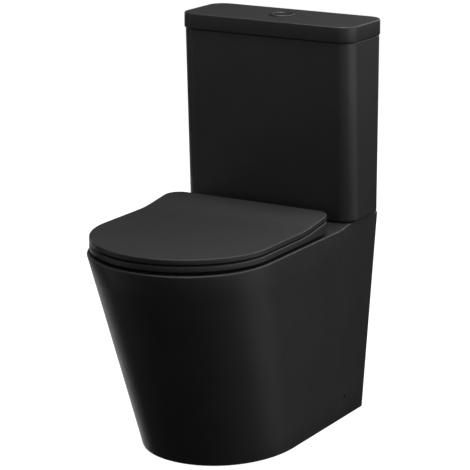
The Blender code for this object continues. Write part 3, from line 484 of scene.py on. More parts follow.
def smooth_path(points, per_span):
    """A Catmull-Rom curve through points that are tuples of numbers."""
    padded = [points[0], *points, points[-1]]
    path = []
    for p0, p1, p2, p3 in zip(padded, padded[1:], padded[2:], padded[3:]):
        for i in range(per_span):
            t = i / per_span
            path.append(tuple(
                0.5 * (2 * b + (c - a) * t + (2 * a - 5 * b + 4 * c - e) * t ** 2
                       + (3 * b - a - 3 * c + e) * t ** 3)
                for a, b, c, e in zip(p0, p1, p2, p3)))
    return [*path, points[-1]]


def pipe_mesh(path, extra=0.0, steps=40):
    """A pipe along a path of (d, z, radius) in the plane x = 0."""
    rings = []
    for i, (d, z, radius) in enumerate(path):
        before, after = path[max(i - 1, 0)], path[min(i + 1, len(path) - 1)]
        tangent = Vector((0, before[0] - after[0], after[1] - before[1])).normalized()
        normal = Vector((0, -tangent.z, tangent.y))
        centre = Vector((0, wall(d), z))
        ring = []
        for k in range(steps):
            angle = math.tau * k / steps
            offset = Vector((math.cos(angle), 0, 0)) + normal * math.sin(angle)
            ring.append(centre + offset * (radius + extra))
        rings.append(ring)
    return lofted(rings)


# ---------------------------------------------------------------- pan
RAMP_STATIONS = [mix(RAMP[0], RAMP[1], i / 14) for i in range(15)]


def pan_top(d):
    """Height of the pan's top: the platform under the cistern, then a short ramp down to the rim."""
    return mix(PLATFORM_Z, RIM_Z, smooth_step((d - RAMP[0]) / (RAMP[1] - RAMP[0])))


def pan_plan(level):
    return {key: mix(PAN_FOOT[key], PAN_TOP[key], level) for key in PAN_TOP}


def pan_ring(level, inset, height):
    """One ring of the outside: height turns the pan's top at d into a z."""
    outline = d_outline(pan_plan(level), 0.0, inset, RAMP_STATIONS)
    return [(x, wall(d), height(pan_top(d))) for x, d in outline]


def pan_outside():
    rings = [pan_ring(0.0, inset, lambda top, z=drop: z)
             for inset, drop in reversed(edge_steps(FOOT_EDGE, 3))]
    levels = 8
    for i in range(1, levels + 1):
        rings.append(pan_ring(i / levels, 0.0, lambda top, t=i / levels: mix(FOOT_EDGE, top - PAN_EDGE, t)))
    for inset, drop in edge_steps(PAN_EDGE, 6)[1:]:
        rings.append(pan_ring(1.0, inset, lambda top, low=drop: top - low))
    return lofted(rings, ladder=True)


def pan_cavity():
    """The hollow between the shroud and the bowl, open below and behind."""
    rings = []
    for z in (-0.02, CAVITY_TOP):
        outline = d_outline(pan_plan(max(z, 0) / PLATFORM_Z), -0.03, PAN_WALL, nose_steps=40)
        rings.append([(x, wall(d), z) for x, d in outline])
    return lofted(rings, ladder=True)


# (z, half width, rear, front) of the bowl's inside, from the rim down to the sump
BOWL_LEVELS = ((0.385, 0.130, 0.262, 0.562), (0.355, 0.123, 0.265, 0.552),
               (0.310, 0.105, 0.270, 0.528), (0.265, 0.083, 0.272, 0.490), (0.220, 0.064, 0.272, 0.445),
               (0.170, 0.052, 0.272, 0.410), (0.120, 0.044, 0.276, 0.388), (0.092, 0.030, 0.286, 0.365),
               (0.084, 0.014, 0.302, 0.345))
TRAP_ROUTE = ((0.345, 0.118, 0.030), (0.290, 0.116, 0.031), (0.252, 0.160, 0.031), (0.222, 0.208, 0.031),
              (0.185, 0.226, 0.032), (0.150, 0.206, 0.035), (0.126, 0.187, 0.040), (0.106, 0.180, 0.041))
SPIGOT_END = (0.085, 0.180, 0.041)
PAST_SPIGOT = (0.060, 0.180, 0.041)


def bowl_rings(extra):
    levels = smooth_path(BOWL_LEVELS, 4)
    return [egg_ring(half + extra, rear - extra, front + extra, z) for z, half, rear, front in levels]


def bowl_cutter():
    """The bowl's inside, flared at the top so that the rim's inner edge is rounded."""
    _, half, rear, front = BOWL_LEVELS[0]
    rings = [egg_ring(half + 0.02, rear - 0.02, front + 0.02, RIM_Z + 0.003)]
    for inset, drop in reversed(edge_steps(BOWL_LIP, 7)):
        spread = inset * 0.999
        rings.append(egg_ring(half + spread, rear - spread, front + spread, RIM_Z - drop + 0.00002))
    return lofted(rings + bowl_rings(0.0))


def upright_holes(radius, x, d, low, high):
    """A pair of upright round holes, one on each side."""
    return both_sides(lambda sign: seated(rod_mesh(radius, low, high, 24), sign * x, d))


def build_pan():
    """The shroud, with the bowl, the trapway, the inlet duct and its well joined on, then hollowed."""
    _, half, rear, front = BOWL_LEVELS[0]
    outer = [egg_ring(half + BOWL_WALL, rear - BOWL_WALL, front + BOWL_WALL, CAVITY_TOP + 0.010)]
    outer += bowl_rings(BOWL_WALL)
    outer[-1] = [(x, y, z - BOWL_WALL) for x, y, z in outer[-1]]
    route = [*smooth_path(TRAP_ROUTE, 6), SPIGOT_END]
    half_duct, duct_wall = 0.047, 0.012
    duct_low, duct_high, duct_front = 0.342, 0.372, 0.258
    tool_low, tool_high = 0.330, CAVITY_TOP + 0.010
    throat, above = 0.032, 0.45
    duct = box_mesh((-half_duct, wall(duct_front), tool_low), (half_duct, wall(AXIS_D), tool_high))
    boss = seated(rod_mesh(WELL_RADIUS + duct_wall, tool_low, tool_high), 0)
    duct_inside = box_mesh((duct_wall - half_duct, wall(0.275), duct_low),
                           (half_duct - duct_wall, wall(AXIS_D), duct_high))
    well = revolved([(0, duct_low), (throat, duct_low), (throat, WELL_FLOOR), (WELL_RADIUS, WELL_FLOOR),
                     (WELL_RADIUS, above), (0, above)], False)
    low, high = 0.37, 0.43
    holes = gathered([upright_holes(0.006, BOLT_X, AXIS_D, low, high),
                      upright_holes(0.007, HINGE_X, HINGE_D, low, high),
                      seated(rod_mesh(0.022, low, high), FILL_X),
                      moved(along_x(rod_mesh(0.005, -0.2, 0.2, 32)), (0, wall(FIXING_D), FIXING_Z))])
    pan = shaped("pan_shell", pan_outside(), ("DIFFERENCE", pan_cavity()), ("UNION", lofted(outer)),
                 ("UNION", pipe_mesh(route, TRAP_WALL)), ("UNION", duct), ("UNION", boss),
                 ("DIFFERENCE", bowl_cutter()), ("DIFFERENCE", pipe_mesh([*route[1:], PAST_SPIGOT])),
                 ("DIFFERENCE", duct_inside), ("DIFFERENCE", seated(well, 0)),
                 ("DIFFERENCE", holes))
    stand_for(pan, "pan")


# ---------------------------------------------------------------- cistern
def tank_front(z):
    return mix(TANK_FRONT_BOTTOM, TANK_FRONT_TOP, (z - TANK_LOW.z) / (TANK_HIGH.z - TANK_LOW.z))


def tank_ring(z, inset, level=None):
    """The tank's outline at height z, drawn at another level if one is given."""
    ring = box_ring(TANK_HIGH.x - inset, TANK_REAR + inset, tank_front(z) - inset, TANK_CORNER - inset, z)
    return [(x, y, z if level is None else level) for x, y, _ in ring]


def build_tank():
    bottom_edge, top_edge = 0.005, 0.004
    rings = [tank_ring(TANK_LOW.z + drop, inset) for inset, drop in reversed(edge_steps(bottom_edge, 6))]
    rings += [tank_ring(TANK_HIGH.z - drop, inset) for inset, drop in edge_steps(top_edge, 6)]
    cavity = [tank_ring(TANK_FLOOR + drop, TANK_WALL + inset)
              for inset, drop in reversed(edge_steps(0.006, 5))]
    cavity.append(tank_ring(TANK_HIGH.z - 0.002, TANK_WALL))
    cavity.append(tank_ring(TANK_HIGH.z + 0.004, TANK_WALL - 0.003))
    low, high = TANK_LOW.z - 0.01, TANK_FLOOR + 0.01
    wall_holes = both_sides(lambda sign: moved(along_y(rod_mesh(0.004, -0.02, 0.02, 24)),
                                               (sign * WALL_HOLE_X, BACK_Y, WALL_HOLE_Z)))
    holes = gathered([seated(rod_mesh(0.031, low, high), 0),
                      seated(rod_mesh(0.0112, low, high, 32), FILL_X),
                      upright_holes(0.0055, BOLT_X, AXIS_D, low, high), wall_holes])
    tank = shaped("cistern_tank_shell", lofted(rings), ("DIFFERENCE", lofted(cavity)),
                  ("DIFFERENCE", holes))
    stand_for(tank, "cistern_tank")


def build_cistern_lid():
    def ring(inset, z):
        return box_ring(LID_HIGH.x - inset, inset, LID_FRONT - inset, LID_CORNER - inset, z)

    rings = [ring(inset, LID_UNDERSIDE + drop) for inset, drop in reversed(edge_steps(0.0012, 3))]
    rings += [ring(inset, LID_HIGH.z - drop) for inset, drop in edge_steps(0.003, 6)]
    inset = TANK_WALL + 0.0015
    lip = lofted([tank_ring(TANK_HIGH.z, inset + 0.001, LID_LOW.z),
                  tank_ring(TANK_HIGH.z, inset, LID_LOW.z + 0.001),
                  tank_ring(TANK_HIGH.z, inset, LID_HIGH.z - 0.015)])
    recess = lofted([tank_ring(TANK_HIGH.z, inset + 0.007, LID_LOW.z - 0.01),
                     tank_ring(TANK_HIGH.z, inset + 0.008, LID_HIGH.z - 0.013),
                     tank_ring(TANK_HIGH.z, inset + 0.011, LID_HIGH.z - 0.010)])
    hole = seated(rod_mesh(0.021, LID_HIGH.z - 0.02, LID_HIGH.z + 0.01), 0)
    lid = shaped("cistern_lid_shell", lofted(rings), ("UNION", lip), ("DIFFERENCE", recess),
                 ("DIFFERENCE", hole))
    stand_for(lid, "cistern_lid")


# ---------------------------------------------------------------- seat
SEAT_STATIONS = [mix(0.226, 0.420, i / 24) for i in range(25)]


def seat_rise(d):
    """How far the lid and the seat sweep up towards the hinge."""
    return SEAT_RISE * smooth_step((RISE_START - d) / (RISE_START - SEAT_REAR))


def plate_mesh(bottom, top, bottom_edge, top_edge, bottom_share):
    """A D-shaped plate with rounded edges. Its top sweeps up at the rear, its underside in part."""
    rows = [(inset, bottom + drop, bottom_share) for inset, drop in reversed(edge_steps(bottom_edge, 6))]
    rows += [(inset, top - drop, 1) for inset, drop in edge_steps(top_edge, 7)]
    rings = []
    for inset, z, share in rows:
        outline = d_outline(SEAT_PLAN, SEAT_REAR, inset, SEAT_STATIONS)
        rings.append([(x, wall(d), z + share * seat_rise(d)) for x, d in outline])
    return lofted(rings, ladder=True)


def mirrored_span(span, sign):
    return tuple(sorted(sign * x for x in span))


def hinge_cylinder(radius, span, sign):
    low, high = mirrored_span(span, sign)
    return moved(along_x(rod_mesh(radius, low, high, 40)), (0, wall(HINGE_D), HINGE_Z))


def keyhole(span, sign, web_half, web_top, steps=32):
    """A knuckle with a web that rises from it to the underside of the lid."""
    start = math.asin(web_half / KNUCKLE_RADIUS)
    profile = [(web_half, web_top), (-web_half, web_top)]
    for i in range(steps + 1):
        angle = mix(start, math.tau - start, i / steps)
        profile.append((-KNUCKLE_RADIUS * math.sin(angle), HINGE_Z + KNUCKLE_RADIUS * math.cos(angle)))
    rings = [[(x, wall(HINGE_D) + y, z) for y, z in profile] for x in mirrored_span(span, sign)]
    return lofted(rings)


def hinge_bores(wide_sign):
    """Bores for the hinge pins on both sides, wider on the side that holds the damper."""
    radii = {sign: DAMPER_GAP_RADIUS if sign == wide_sign else PIN_GAP_RADIUS for sign in (-1, 1)}
    return both_sides(lambda sign: hinge_cylinder(radii[sign], BORE_SPAN, sign))


def ring_opening():
    """The seat's opening, flared above and below so that its edges are rounded."""
    radius, reach, beyond = 0.0045, 0.012, 0.002

    def ring(spread, z):
        return egg_ring(RING_HOLE["half"] + spread, RING_HOLE["rear"] - spread,
                        RING_HOLE["front"] + spread, z)

    flare = edge_steps(radius, 6)
    rings = [ring(radius + reach, RING_BOTTOM - beyond)]
    rings += [ring(inset, RING_BOTTOM + drop) for inset, drop in reversed(flare)]
    rings += [ring(inset, RING_TOP - drop) for inset, drop in flare]
    rings.append(ring(radius + reach, RING_TOP + beyond))
    return lofted(rings)


def notch_mesh(sign):
    """Room in the ring's rear edge for a hinge post and the lid's knuckle."""
    low, high = mirrored_span(RING_NOTCH, sign)
    return box_mesh((low, wall(0.2125), 0.40), (high, wall(0.18), 0.46))


def rear_relief():
    """Takes the ring's upper rear edge off, so that the lid's underside turns past it."""
    half, depth, height = SEAT_PLAN["half"], 0.006, 0.020
    tool = box_mesh((-half, -depth, REAR_RELIEF), (half, depth, height))
    bmesh.ops.rotate(tool, verts=tool.verts, matrix=Matrix.Rotation(-math.pi / 4, 3, "X"))
    return moved(tool, (0, wall(HINGE_D), HINGE_Z))


def build_seat_ring():
    ring = shaped("seat_ring_shell", plate_mesh(RING_BOTTOM, RING_TOP, 0.0015, 0.003, 0),
                  ("DIFFERENCE", ring_opening()), ("DIFFERENCE", both_sides(notch_mesh)),
                  ("DIFFERENCE", rear_relief()), ("DIFFERENCE", hinge_bores(1)))
    stand_for(ring, "seat_ring")


def build_seat_lid():
    web_top = COVER_BOTTOM + SEAT_RISE + 0.002
    knuckles = both_sides(lambda sign: keyhole(COVER_KNUCKLE, sign, 0.006, web_top))
    lid = shaped("seat_lid_shell", plate_mesh(COVER_BOTTOM, COVER_TOP, 0.0015, 0.002, 1),
                 ("UNION", knuckles), ("DIFFERENCE", hinge_bores(-1)))
    stand_for(lid, "seat_lid")


# ---------------------------------------------------------------- small parts
def softened(profile, closed, cut, steps=4):
    """Round the corners of a profile of (radius, z) points; its ends and points on the axis stay."""
    result = []
    for i, (radius, z) in enumerate(profile):
        if radius < 1e-7 or (not closed and i in (0, len(profile) - 1)):
            result.append((radius, z))
            continue
        here = Vector((radius, z))
        before = Vector(profile[i - 1]) - here
        after = Vector(profile[(i + 1) % len(profile)]) - here
        reach = min(cut, before.length * 0.4, after.length * 0.4)
        start, end = here + before.normalized() * reach, here + after.normalized() * reach
        for k in range(steps + 1):
            t = k / steps
            point = start * (1 - t) ** 2 + here * (2 * t * (1 - t)) + end * t ** 2
            result.append((point.x, point.y))
    return result


def with_thread_rows(profile, radius, pitch):
    """Add the points that a thread needs along the upright run of a profile at one radius."""
    rows = []
    for (r0, z0), (r1, z1) in zip(profile, profile[1:] + profile[:1]):
        rows.append((r0, z0))
        if abs(r0 - radius) < 1e-6 and abs(r1 - radius) < 1e-6:
            count = int(abs(z1 - z0) * 6 / pitch)
            rows += [(radius, mix(z0, z1, k / (count + 1))) for k in range(1, count + 1)]
    return rows


def cut_thread(bm, radius, low, high, pitch, depth):
    """A helical groove between two heights, which fades at both ends."""
    for vert in bm.verts:
        x, y, z = vert.co
        if abs(math.hypot(x, y) - radius) < 1e-6 and low < z < high:
            turn = z / pitch - math.atan2(y, x) / math.tau
            fade = min(1, (z - low) / pitch, (high - z) / pitch)
            scale = 1 - depth / radius * fade * (0.5 - 0.5 * math.cos(math.tau * turn))
            vert.co.x, vert.co.y = x * scale, y * scale


def turned(profile, closed=False, cut=SOFT, thread=None):
    """A turned shape with rounded edges; a thread is (radius, low, high, pitch, depth)."""
    profile = softened(profile, closed, cut)
    if thread:
        profile = with_thread_rows(profile, thread[0], thread[3])
    bm = revolved(profile, closed)
    if thread:
        cut_thread(bm, *thread)
    return bm


def turned_ring(inner, outer, low, high, cut=SOFT):
    return turned([(inner, low), (outer, low), (outer, high), (inner, high)], True, cut)


def turned_rod(radius, low, high, cut=0.0003):
    return turned([(0, low), (radius, low), (radius, high), (0, high)], cut=cut)


def fluted(bm, beyond, count, depth):
    """Grip grooves around the parts of a turned mesh that lie beyond a radius."""
    for vert in bm.verts:
        x, y, _ = vert.co
        radius = math.hypot(x, y)
        if radius > beyond:
            groove = depth * (0.5 - 0.5 * math.cos(count * math.atan2(y, x)))
            vert.co.x, vert.co.y = x * (1 - groove / radius), y * (1 - groove / radius)
    return bm


def soft_bar(start, end, radius=SOFT):
    """A bar with rounded edges between two corners of (x, d, z)."""
    corners = [(x, wall(d), z) for x, d, z in (start, end)]
    bm = box_mesh([min(pair) for pair in zip(*corners)], [max(pair) for pair in zip(*corners)])
    bmesh.ops.bevel(bm, geom=bm.edges[:], offset=radius, segments=3, profile=0.5, affect="EDGES")
    return bm


def hex_nut(apothem, bore, low, high, steps=96, rows=5):
    """A hexagonal nut whose corners are turned off at both ends."""
    depths = [0.1 * apothem * k / rows for k in range(rows + 1)]
    levels = [(low + depth, depth) for depth in depths]
    levels += [(high - depth, depth) for depth in reversed(depths)]
    turns = [math.tau * i / steps for i in range(steps)]
    rings = []
    for z, depth in levels:
        limit = 0.98 * apothem + depth / math.tan(math.pi / 6)
        ring = []
        for turn in turns:
            radius = min(apothem / math.cos((turn + math.pi / 6) % (math.pi / 3) - math.pi / 6), limit)
            ring.append((radius * math.cos(turn), radius * math.sin(turn), z))
        rings.append(ring)
    for z in (high, low):
        rings.append([(bore * math.cos(turn), bore * math.sin(turn), z) for turn in turns])
    return lofted(rings, closed=True)


def heights(node):
    low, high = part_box(node)
    return low.z, high.z


def outer_radius(node):
    low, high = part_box(node)
    return (high.y - low.y) / 2


def piece(node, *meshes):
    """A fine piece, of one or more closed meshes, in place of one CAD node."""
    stand_for(shade(make_object(f"{node}_fine", gathered(meshes))), node)


def ring_piece(node, inner, x, d=AXIS_D, cut=SOFT):
    """A washer or a seal, as wide and as high as its CAD node."""
    low, high = heights(node)
    piece(node, seated(turned_ring(inner, outer_radius(node), low, high, cut), x, d))


def build_buttons():
    """The bezel through the cistern's lid, the nut that holds it, and the two half round buttons."""
    low, high = heights("button_bezel")
    shoulder = HEIGHT + 0.0012
    bezel = turned([(0.018, low), (0.020, low), (0.020, HEIGHT + GAP), (0.0255, HEIGHT + GAP),
                    (0.0255, shoulder), (0.0240, high), (0.0195, high), (0.018, shoulder)], True,
                   thread=(0.020, low, HEIGHT - 0.012, 0.0016, 0.0005))
    piece("button_bezel", seated(bezel, 0))
    low, high = heights("button_ring_nut")
    nut = turned([(0.0203, low), (0.027, low), (0.028, low + 0.003), (0.027, high), (0.0203, high)], True)
    piece("button_ring_nut", seated(fluted(nut, 0.0255, 16, 0.0008), 0))
    radius, steps = 0.0175, 40
    angles = [math.pi * (i / steps - 0.5) for i in range(steps + 1)]
    for node, sign in (("full_flush_button", 1), ("half_flush_button", -1)):
        low, high = heights(node)
        outline = [(sign * (0.0004 + 0.0172 * math.cos(a)), radius * math.sin(a)) for a in angles]
        levels = [(HEIGHT - 0.010, 0.99), (HEIGHT - 0.0098, 1.0)]
        levels += [(high - drop, 1 - inset / radius) for inset, drop in edge_steps(0.0007, 6)]
        head = lofted([[(x * grow, y * grow, z) for x, y in outline] for z, grow in levels])
        rod = moved(turned_rod(0.002, low, HEIGHT - 0.008), (sign * ROD_X, 0, 0))
        piece(node, seated(gathered([head, rod]), 0))


def build_flush_valve():
    ring_piece("valve_seat_gasket", 0.0305, 0)
    ring_piece("flush_seal", 0.0138, 0)
    low, high = heights("flush_valve_seat")
    flange = heights("valve_seat_gasket")[1] + GAP
    seat = turned([(0.0245, low), (0.029, low), (0.029, flange), (0.041, flange), (0.041, flange + 0.004),
                   (0.0275, flange + 0.004), (0.0275, high), (0.0245, high)], True,
                  thread=(0.029, low, flange, 0.003, 0.0009))
    piece("flush_valve_seat", seated(seat, 0))
    nut_low, nut_high = heights("flush_valve_backnut")
    piece("flush_valve_backnut", seated(hex_nut(0.034, 0.0295, nut_low, nut_high), 0))
    low, high = heights("doughnut_seal")
    seal = turned([(0.030, low), (0.0485, low), (0.0485, high), (0.0402, high), (0.0402, nut_low - GAP),
                   (0.030, nut_low - GAP)], True, 0.0016)
    piece("doughnut_seal", seated(seal, 0))
    build_cage()
    build_overflow_tube()
    build_half_flush_float()
    start, end = ROCKER_ENDS
    for node, sign in (("full_flush_rocker", 1), ("half_flush_rocker", -1)):
        lever(node, sign * ROCKER_PIVOT_X, ROCKER_Z, sign * start, sign * end)


def cheek_pair(x, half, low, high):
    """Two cheeks that hold a lever's pin, one on each side of the lever."""
    half_cheek = 0.0013
    return [soft_bar((x - half, d - half_cheek, low), (x + half, d + half_cheek, high))
            for d in (AXIS_D - 0.0065, AXIS_D + 0.0065)]


def build_cage():
    """Four legs between a base ring and a head with a guide sleeve and the rockers' cheeks."""
    low, high = heights("flush_valve_cage")
    head = CAGE_HEAD
    foot = turned_ring(0.0315, 0.040, low, low + 0.005, 0.0008)
    crown = turned([(0.0195, head), (0.040, head), (0.040, head + 0.005), (0.0165, head + 0.005),
                    (0.0165, SLEEVE_FOOT), (0.0195, SLEEVE_FOOT)], True, 0.0008)
    parts = [seated(foot, 0), seated(crown, 0)]
    spread, half_leg = 0.0257, 0.003
    parts += [soft_bar((x - half_leg, d - half_leg, low + 0.002),
                       (x + half_leg, d + half_leg, head + 0.002))
              for x in (-spread, spread) for d in (AXIS_D - spread, AXIS_D + spread)]
    for x in (-ROCKER_PIVOT_X, ROCKER_PIVOT_X):
        parts += cheek_pair(x, 0.0035, head + 0.004, high)
    parts.append(soft_bar((-0.0500, AXIS_D - 0.001, 0.598), (-0.0245, AXIS_D - 0.027, 0.602)))
    piece("flush_valve_cage", *parts)


def hooked_rod(x, foot, top):
    """A rod beside a rocker's outer end, with a finger that the rocker lifts."""
    rod = seated(turned_rod(0.0018, foot, top - 0.002), x, AXIS_D - 0.0065)
    finger = soft_bar((x - 0.0025, AXIS_D + 0.0035, top - 0.003),
                      (x + 0.0025, AXIS_D - 0.0085, top), 0.0004)
    return [rod, finger]


def build_overflow_tube():
    low, high = heights("overflow_tube")
    tube = turned([(0.0135, low), (0.028, low), (0.028, low + 0.003), (0.016, low + 0.006),
                   (0.016, TUBE_TOP), (0.0135, TUBE_TOP)], True)
    arm = soft_bar((0.0148, AXIS_D - 0.004, ARM_FOOT), (HOOK_X, AXIS_D - 0.009, 0.601))
    piece("overflow_tube", seated(tube, 0), arm, *hooked_rod(HOOK_X, 0.598, high))


def build_half_flush_float():
    low, high = heights("half_flush_float")
    can = turned([(0, low), (0.011, low), (0.011, low + 0.040), (0, low + 0.040)], cut=0.0016)
    can = seated(can, FLOAT_X, AXIS_D - 0.0065)
    piece("half_flush_float", can, *hooked_rod(-HOOK_X, low + 0.036, high))


def lever(node, pivot_x, pivot_z, start, end):
    """A flat bar with a round hub, and the pin that it turns on."""
    pivot = (pivot_x, wall(AXIS_D), pivot_z)
    half_width, half_height = 0.0035, 0.002
    bar = soft_bar((start, AXIS_D - half_width, pivot_z - half_height),
                   (end, AXIS_D + half_width, pivot_z + half_height), 0.0007)
    piece(node, bar, moved(along_y(turned_rod(0.0036, -0.0045, 0.0045)), pivot))
    piece(f"{node}_pin", moved(along_y(turned_rod(0.0013, -0.0095, 0.0095)), pivot))


def build_fill_valve():
    ring_piece("fill_valve_washer", 0.0112, FILL_X)
    low, high = heights("fill_valve_body")
    flange = heights("fill_valve_washer")[1] + GAP
    body = turned([(0, high), (0.018, high), (0.022, high - 0.005), (0.022, 0.644), (0.0125, 0.638),
                   (0.0125, flange + 0.004), (0.018, flange + 0.004), (0.018, flange), (0.0104, flange),
                   (0.0104, low), (0.006, low), (0.006, 0.60), (0, 0.60)],
                  thread=(0.0104, low, flange, 0.0018, 0.0007))
    pivot_x, pivot_z = FILL_PIVOT
    cheeks = cheek_pair(FILL_X + 0.0245, 0.0095, pivot_z - 0.004, pivot_z + 0.004)
    piece("fill_valve_body", seated(body, FILL_X), *cheeks)
    lever("float_arm", pivot_x, pivot_z, pivot_x - 0.006, pivot_x + 0.030)
    nut_low, nut_high = heights("fill_valve_backnut")
    piece("fill_valve_backnut", seated(hex_nut(0.0145, 0.0108, nut_low, nut_high), FILL_X))
    low, high = heights("fill_float")
    cup = turned_ring(0.0140, 0.027, low, low + 0.060, 0.0016)
    link_x = pivot_x + 0.026
    ear = soft_bar((FILL_X + 0.024, AXIS_D + 0.003, low + 0.029),
                   (link_x, AXIS_D - 0.003, low + 0.033))
    link = seated(turned_rod(0.0018, low + 0.027, high), link_x)
    piece("fill_float", seated(cup, FILL_X), ear, link)


def build_coupling():
    for side, sign in SIDES.items():
        x = sign * BOLT_X
        low, high = heights(f"bolt_cone_washer_{side}")
        cone = turned([(0.0044, low), (0.0115, low), (0.0080, high), (0.0044, high)], True)
        piece(f"bolt_cone_washer_{side}", seated(cone, x))
        bolt_low, bolt_high = heights(f"coupling_bolt_{side}")
        head = high + GAP
        bolt = turned([(0, bolt_low), (0.004, bolt_low), (0.004, head), (0.0085, head), (0.0085, bolt_high),
                       (0, bolt_high)], cut=0.0009, thread=(0.004, bolt_low, head - 0.020, 0.00125, 0.0005))
        slot = box_mesh((-0.02, -0.0009, head + 0.003), (0.02, 0.0009, head + 0.01))
        slotted = shaped(f"coupling_bolt_{side}_fine", seated(bolt, x), ("DIFFERENCE", seated(slot, x)))
        stand_for(slotted, f"coupling_bolt_{side}")
        ring_piece(f"tank_pad_{side}", 0.0044, x, cut=0.0003)
        ring_piece(f"pan_washer_{side}", 0.0044, x)
        nut_low, nut_high = heights(f"wing_nut_{side}")
        hub = turned([(0.0043, nut_high - 0.010), (0.0065, nut_high - 0.010), (0.0080, nut_high),
                      (0.0043, nut_high)], True)
        wings = [soft_bar((x + wing * 0.0060, AXIS_D - 0.0013, nut_low),
                          (x + wing * 0.0170, AXIS_D + 0.0013, nut_high - 0.002), 0.0009)
                 for wing in (-1, 1)]
        piece(f"wing_nut_{side}", seated(hub, x), *wings)


def across(bm, sign):
    """Turn a shape drawn along Z so that it runs outwards to one side."""
    bmesh.ops.rotate(bm, verts=bm.verts, matrix=Matrix.Rotation(sign * math.pi / 2, 3, "Y"))
    return bm


def build_hinge():
    hinge = (0, wall(HINGE_D), HINGE_Z)
    for side, sign in SIDES.items():
        x = sign * HINGE_X
        low, high = heights(f"hinge_post_{side}")
        base = turned([(0, low), (0.021, low), (0.021, low + 0.0015), (0.0195, low + 0.0027),
                       (0.0075, low + 0.0027), (0.0070, HINGE_Z), (0, HINGE_Z)])
        barrel = moved(across(turned_rod(0.0085, 0.0675, 0.0875, SOFT), sign), hinge)
        piece(f"hinge_post_{side}", seated(base, x, HINGE_D), barrel)
        pin = turned([(0, 0.044), (0.003, 0.044), (0.003, 0.1090), (0.005, 0.1090), (0.005, 0.1115),
                      (0, 0.1115)])
        piece(f"hinge_pin_{side}", moved(across(pin, sign), hinge))
        low, high = heights(f"hinge_stud_{side}")
        stud = turned([(0, low), (0.004, low), (0.004, high), (0, high)],
                      thread=(0.004, low, high, 0.00125, 0.0005))
        piece(f"hinge_stud_{side}", seated(stud, x, HINGE_D))
        ring_piece(f"hinge_plug_{side}", 0.0043, x, HINGE_D)
        low, high = heights(f"hinge_nut_{side}")
        piece(f"hinge_nut_{side}", seated(hex_nut(0.0065, 0.0043, low, high), x, HINGE_D))
    for node, span, sign in (("lid_damper", COVER_KNUCKLE, -1), ("seat_damper", RING_KNUCKLE, 1)):
        sleeve = turned_ring(0.0033, 0.0055, span[0] + 0.001, span[1] - 0.001)
        piece(node, moved(across(sleeve, sign), hinge))


def build_buffers():
    for side in SIDES:
        low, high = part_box(f"lid_buffer_{side}")
        disc = turned_rod((high.x - low.x) / 2, low.z, high.z, 0.0006)
        piece(f"lid_buffer_{side}", moved(disc, ((low.x + high.x) / 2, (low.y + high.y) / 2, 0)))
        for end in ("front", "rear"):
            node = f"seat_buffer_{end}_{side}"
            low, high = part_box(node)
            piece(node, soft_bar((low.x, BACK_Y - low.y, low.z), (high.x, BACK_Y - high.y, high.z), 0.0019))


def build_floor_fixing():
    """Angle brackets inside the foot, each with a cross slot screw through the pan's side."""
    place = (0, wall(FIXING_D), FIXING_Z)
    rear, front, thickness = FIXING_D - 0.018, FIXING_D + 0.018, 0.004
    for side, sign in SIDES.items():
        low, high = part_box(f"floor_bracket_{side}")
        inner, outer = (low.x, high.x) if sign > 0 else (high.x, low.x)
        plate = soft_bar((outer, rear, low.z), (outer - sign * thickness, front, high.z))
        foot = soft_bar((outer - sign * 0.0005, rear, low.z), (inner, front, low.z + thickness))
        side_hole = moved(along_x(rod_mesh(0.0032, -0.01, 0.01)), (outer, wall(FIXING_D), FIXING_Z))
        floor_hole = seated(rod_mesh(0.0035, -0.01, 0.01), outer - sign * 0.024, FIXING_D)
        bracket = shaped(f"floor_bracket_{side}_fine", plate, ("UNION", foot), ("DIFFERENCE", side_hole),
                         ("DIFFERENCE", floor_hole))
        stand_for(bracket, f"floor_bracket_{side}")
        low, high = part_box(f"side_screw_{side}")
        start, end = sorted((abs(low.x), abs(high.x)))
        screw = turned([(0, start), (0.0010, start), (0.0027, start + 0.004), (0.0027, end - 0.003),
                        (0.0044, end - 0.001), (0.0044, end), (0, end)], cut=0.0003,
                       thread=(0.0027, start + 0.004, end - 0.004, 0.0018, 0.0007))
        cross = [moved(across(box_mesh((-x, -y, end - 0.0014), (x, y, end + 0.002)), sign), place)
                 for x, y in ((0.0026, 0.0005), (0.0005, 0.0026))]
        finished = shaped(f"side_screw_{side}_fine", moved(across(screw, sign), place),
                          *(("DIFFERENCE", slot) for slot in cross))
        stand_for(finished, f"side_screw_{side}")


# ---------------------------------------------------------------- camera, lights and floor
AIM = Vector((-0.1494, BACK_Y, 0.3184))
CAMERA_AZIMUTH = 30.5625
CAMERA_ELEVATION = 14.8321
CAMERA_DISTANCE = 4.5954
LENS = 170.35


def direction(azimuth, elevation):
    """A unit vector, in degrees turned from the front towards the right and raised from the floor."""
    turn, rise = math.radians(azimuth), math.radians(elevation)
    return Vector((math.sin(turn) * math.cos(rise), -math.cos(turn) * math.cos(rise), math.sin(rise)))


def place_camera():
    back = direction(CAMERA_AZIMUTH, CAMERA_ELEVATION)
    data = bpy.data.cameras.new("camera")
    data.lens = LENS
    data.sensor_width = 36.0
    camera = bpy.data.objects.new("camera", data)
    camera.location = AIM + back * CAMERA_DISTANCE
    camera.rotation_euler = back.to_track_quat("Z", "Y").to_euler()
    bpy.context.collection.objects.link(camera)
    bpy.context.scene.camera = camera


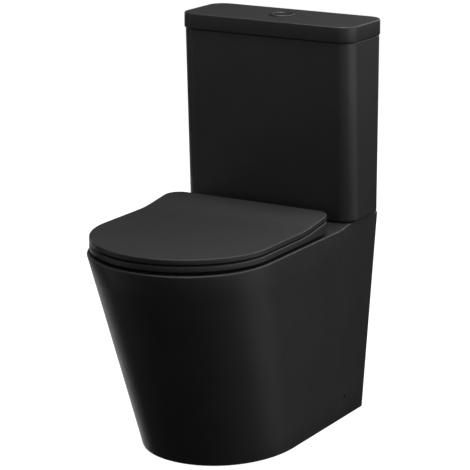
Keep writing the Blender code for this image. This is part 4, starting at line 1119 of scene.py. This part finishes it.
# (azimuth, elevation, side, radiance) of each softbox, all at one distance from the toilet's middle
OVERHEAD = ((0, 90, 1.8, 8.0), (120, 65, 1.4, 2.5), (150, 38, 1.4, 4.5))
RIGHT = ((20, 10, 1.0, 1.3), (40, 10, 1.0, 1.8), (80, 10, 1.0, 5.3), (110, 10, 1.2, 3.2),
         (120, -25, 1.2, 0.9))
LEFT = ((340, 10, 1.0, 0.7), (300, 10, 1.0, 1.6), (240, 10, 1.0, 1.6), (300, -25, 1.2, 0.6),
        (240, -25, 1.2, 1.8))
BEHIND = ((180, 12, 1.2, 1.9),)
SOFTBOX_DISTANCE = 3.0


def build_softboxes():
    centre = Vector((0, 0, HEIGHT / 2))
    for azimuth, elevation, side, radiance in OVERHEAD + RIGHT + LEFT + BEHIND:
        towards = direction(azimuth, elevation)
        data = bpy.data.lights.new("softbox", "AREA")
        data.shape = "SQUARE"
        data.size = side
        data.energy = radiance * math.pi * side ** 2
        light = bpy.data.objects.new("softbox", data)
        light.location = centre + towards * SOFTBOX_DISTANCE
        light.rotation_euler = towards.to_track_quat("Z", "Y").to_euler()
        light.visible_camera = False
        bpy.context.collection.objects.link(light)


def build_studio():
    """A white world and a floor that glows, so that both stay white right up to the toilet."""
    build_softboxes()
    world = bpy.data.worlds.new("studio")
    bpy.context.scene.world = world
    world.use_nodes = True
    world.node_tree.nodes["Background"].inputs["Color"].default_value = (1, 1, 1, 1)
    world.cycles_visibility.glossy = False
    world.cycles_visibility.diffuse = False
    bpy.context.scene.view_settings.view_transform = "Standard"

    g = Graph("white_floor", (0.25, 0.25, 0.25), 0.8)
    g.colours(g.noise(3, 2), (0.24, 0.24, 0.24), (0.27, 0.27, 0.27))
    g.shader.inputs["Emission Color"].default_value = (1, 1, 1, 1)
    g.shader.inputs["Emission Strength"].default_value = 1.0
    reach = 14
    floor = make_object("floor", box_mesh((-reach, -reach, -0.02), (reach, reach, -0.0002)))
    floor.data.materials.append(g.material)
    floor.visible_glossy = False
    floor.visible_diffuse = False
    floor.visible_shadow = False


# ---------------------------------------------------------------- the whole scene
build_pan()
build_tank()
build_cistern_lid()
build_seat_ring()
build_seat_lid()
build_buttons()
build_flush_valve()
build_fill_valve()
build_coupling()
build_hinge()
build_buffers()
build_floor_fixing()
place_camera()
build_studio()
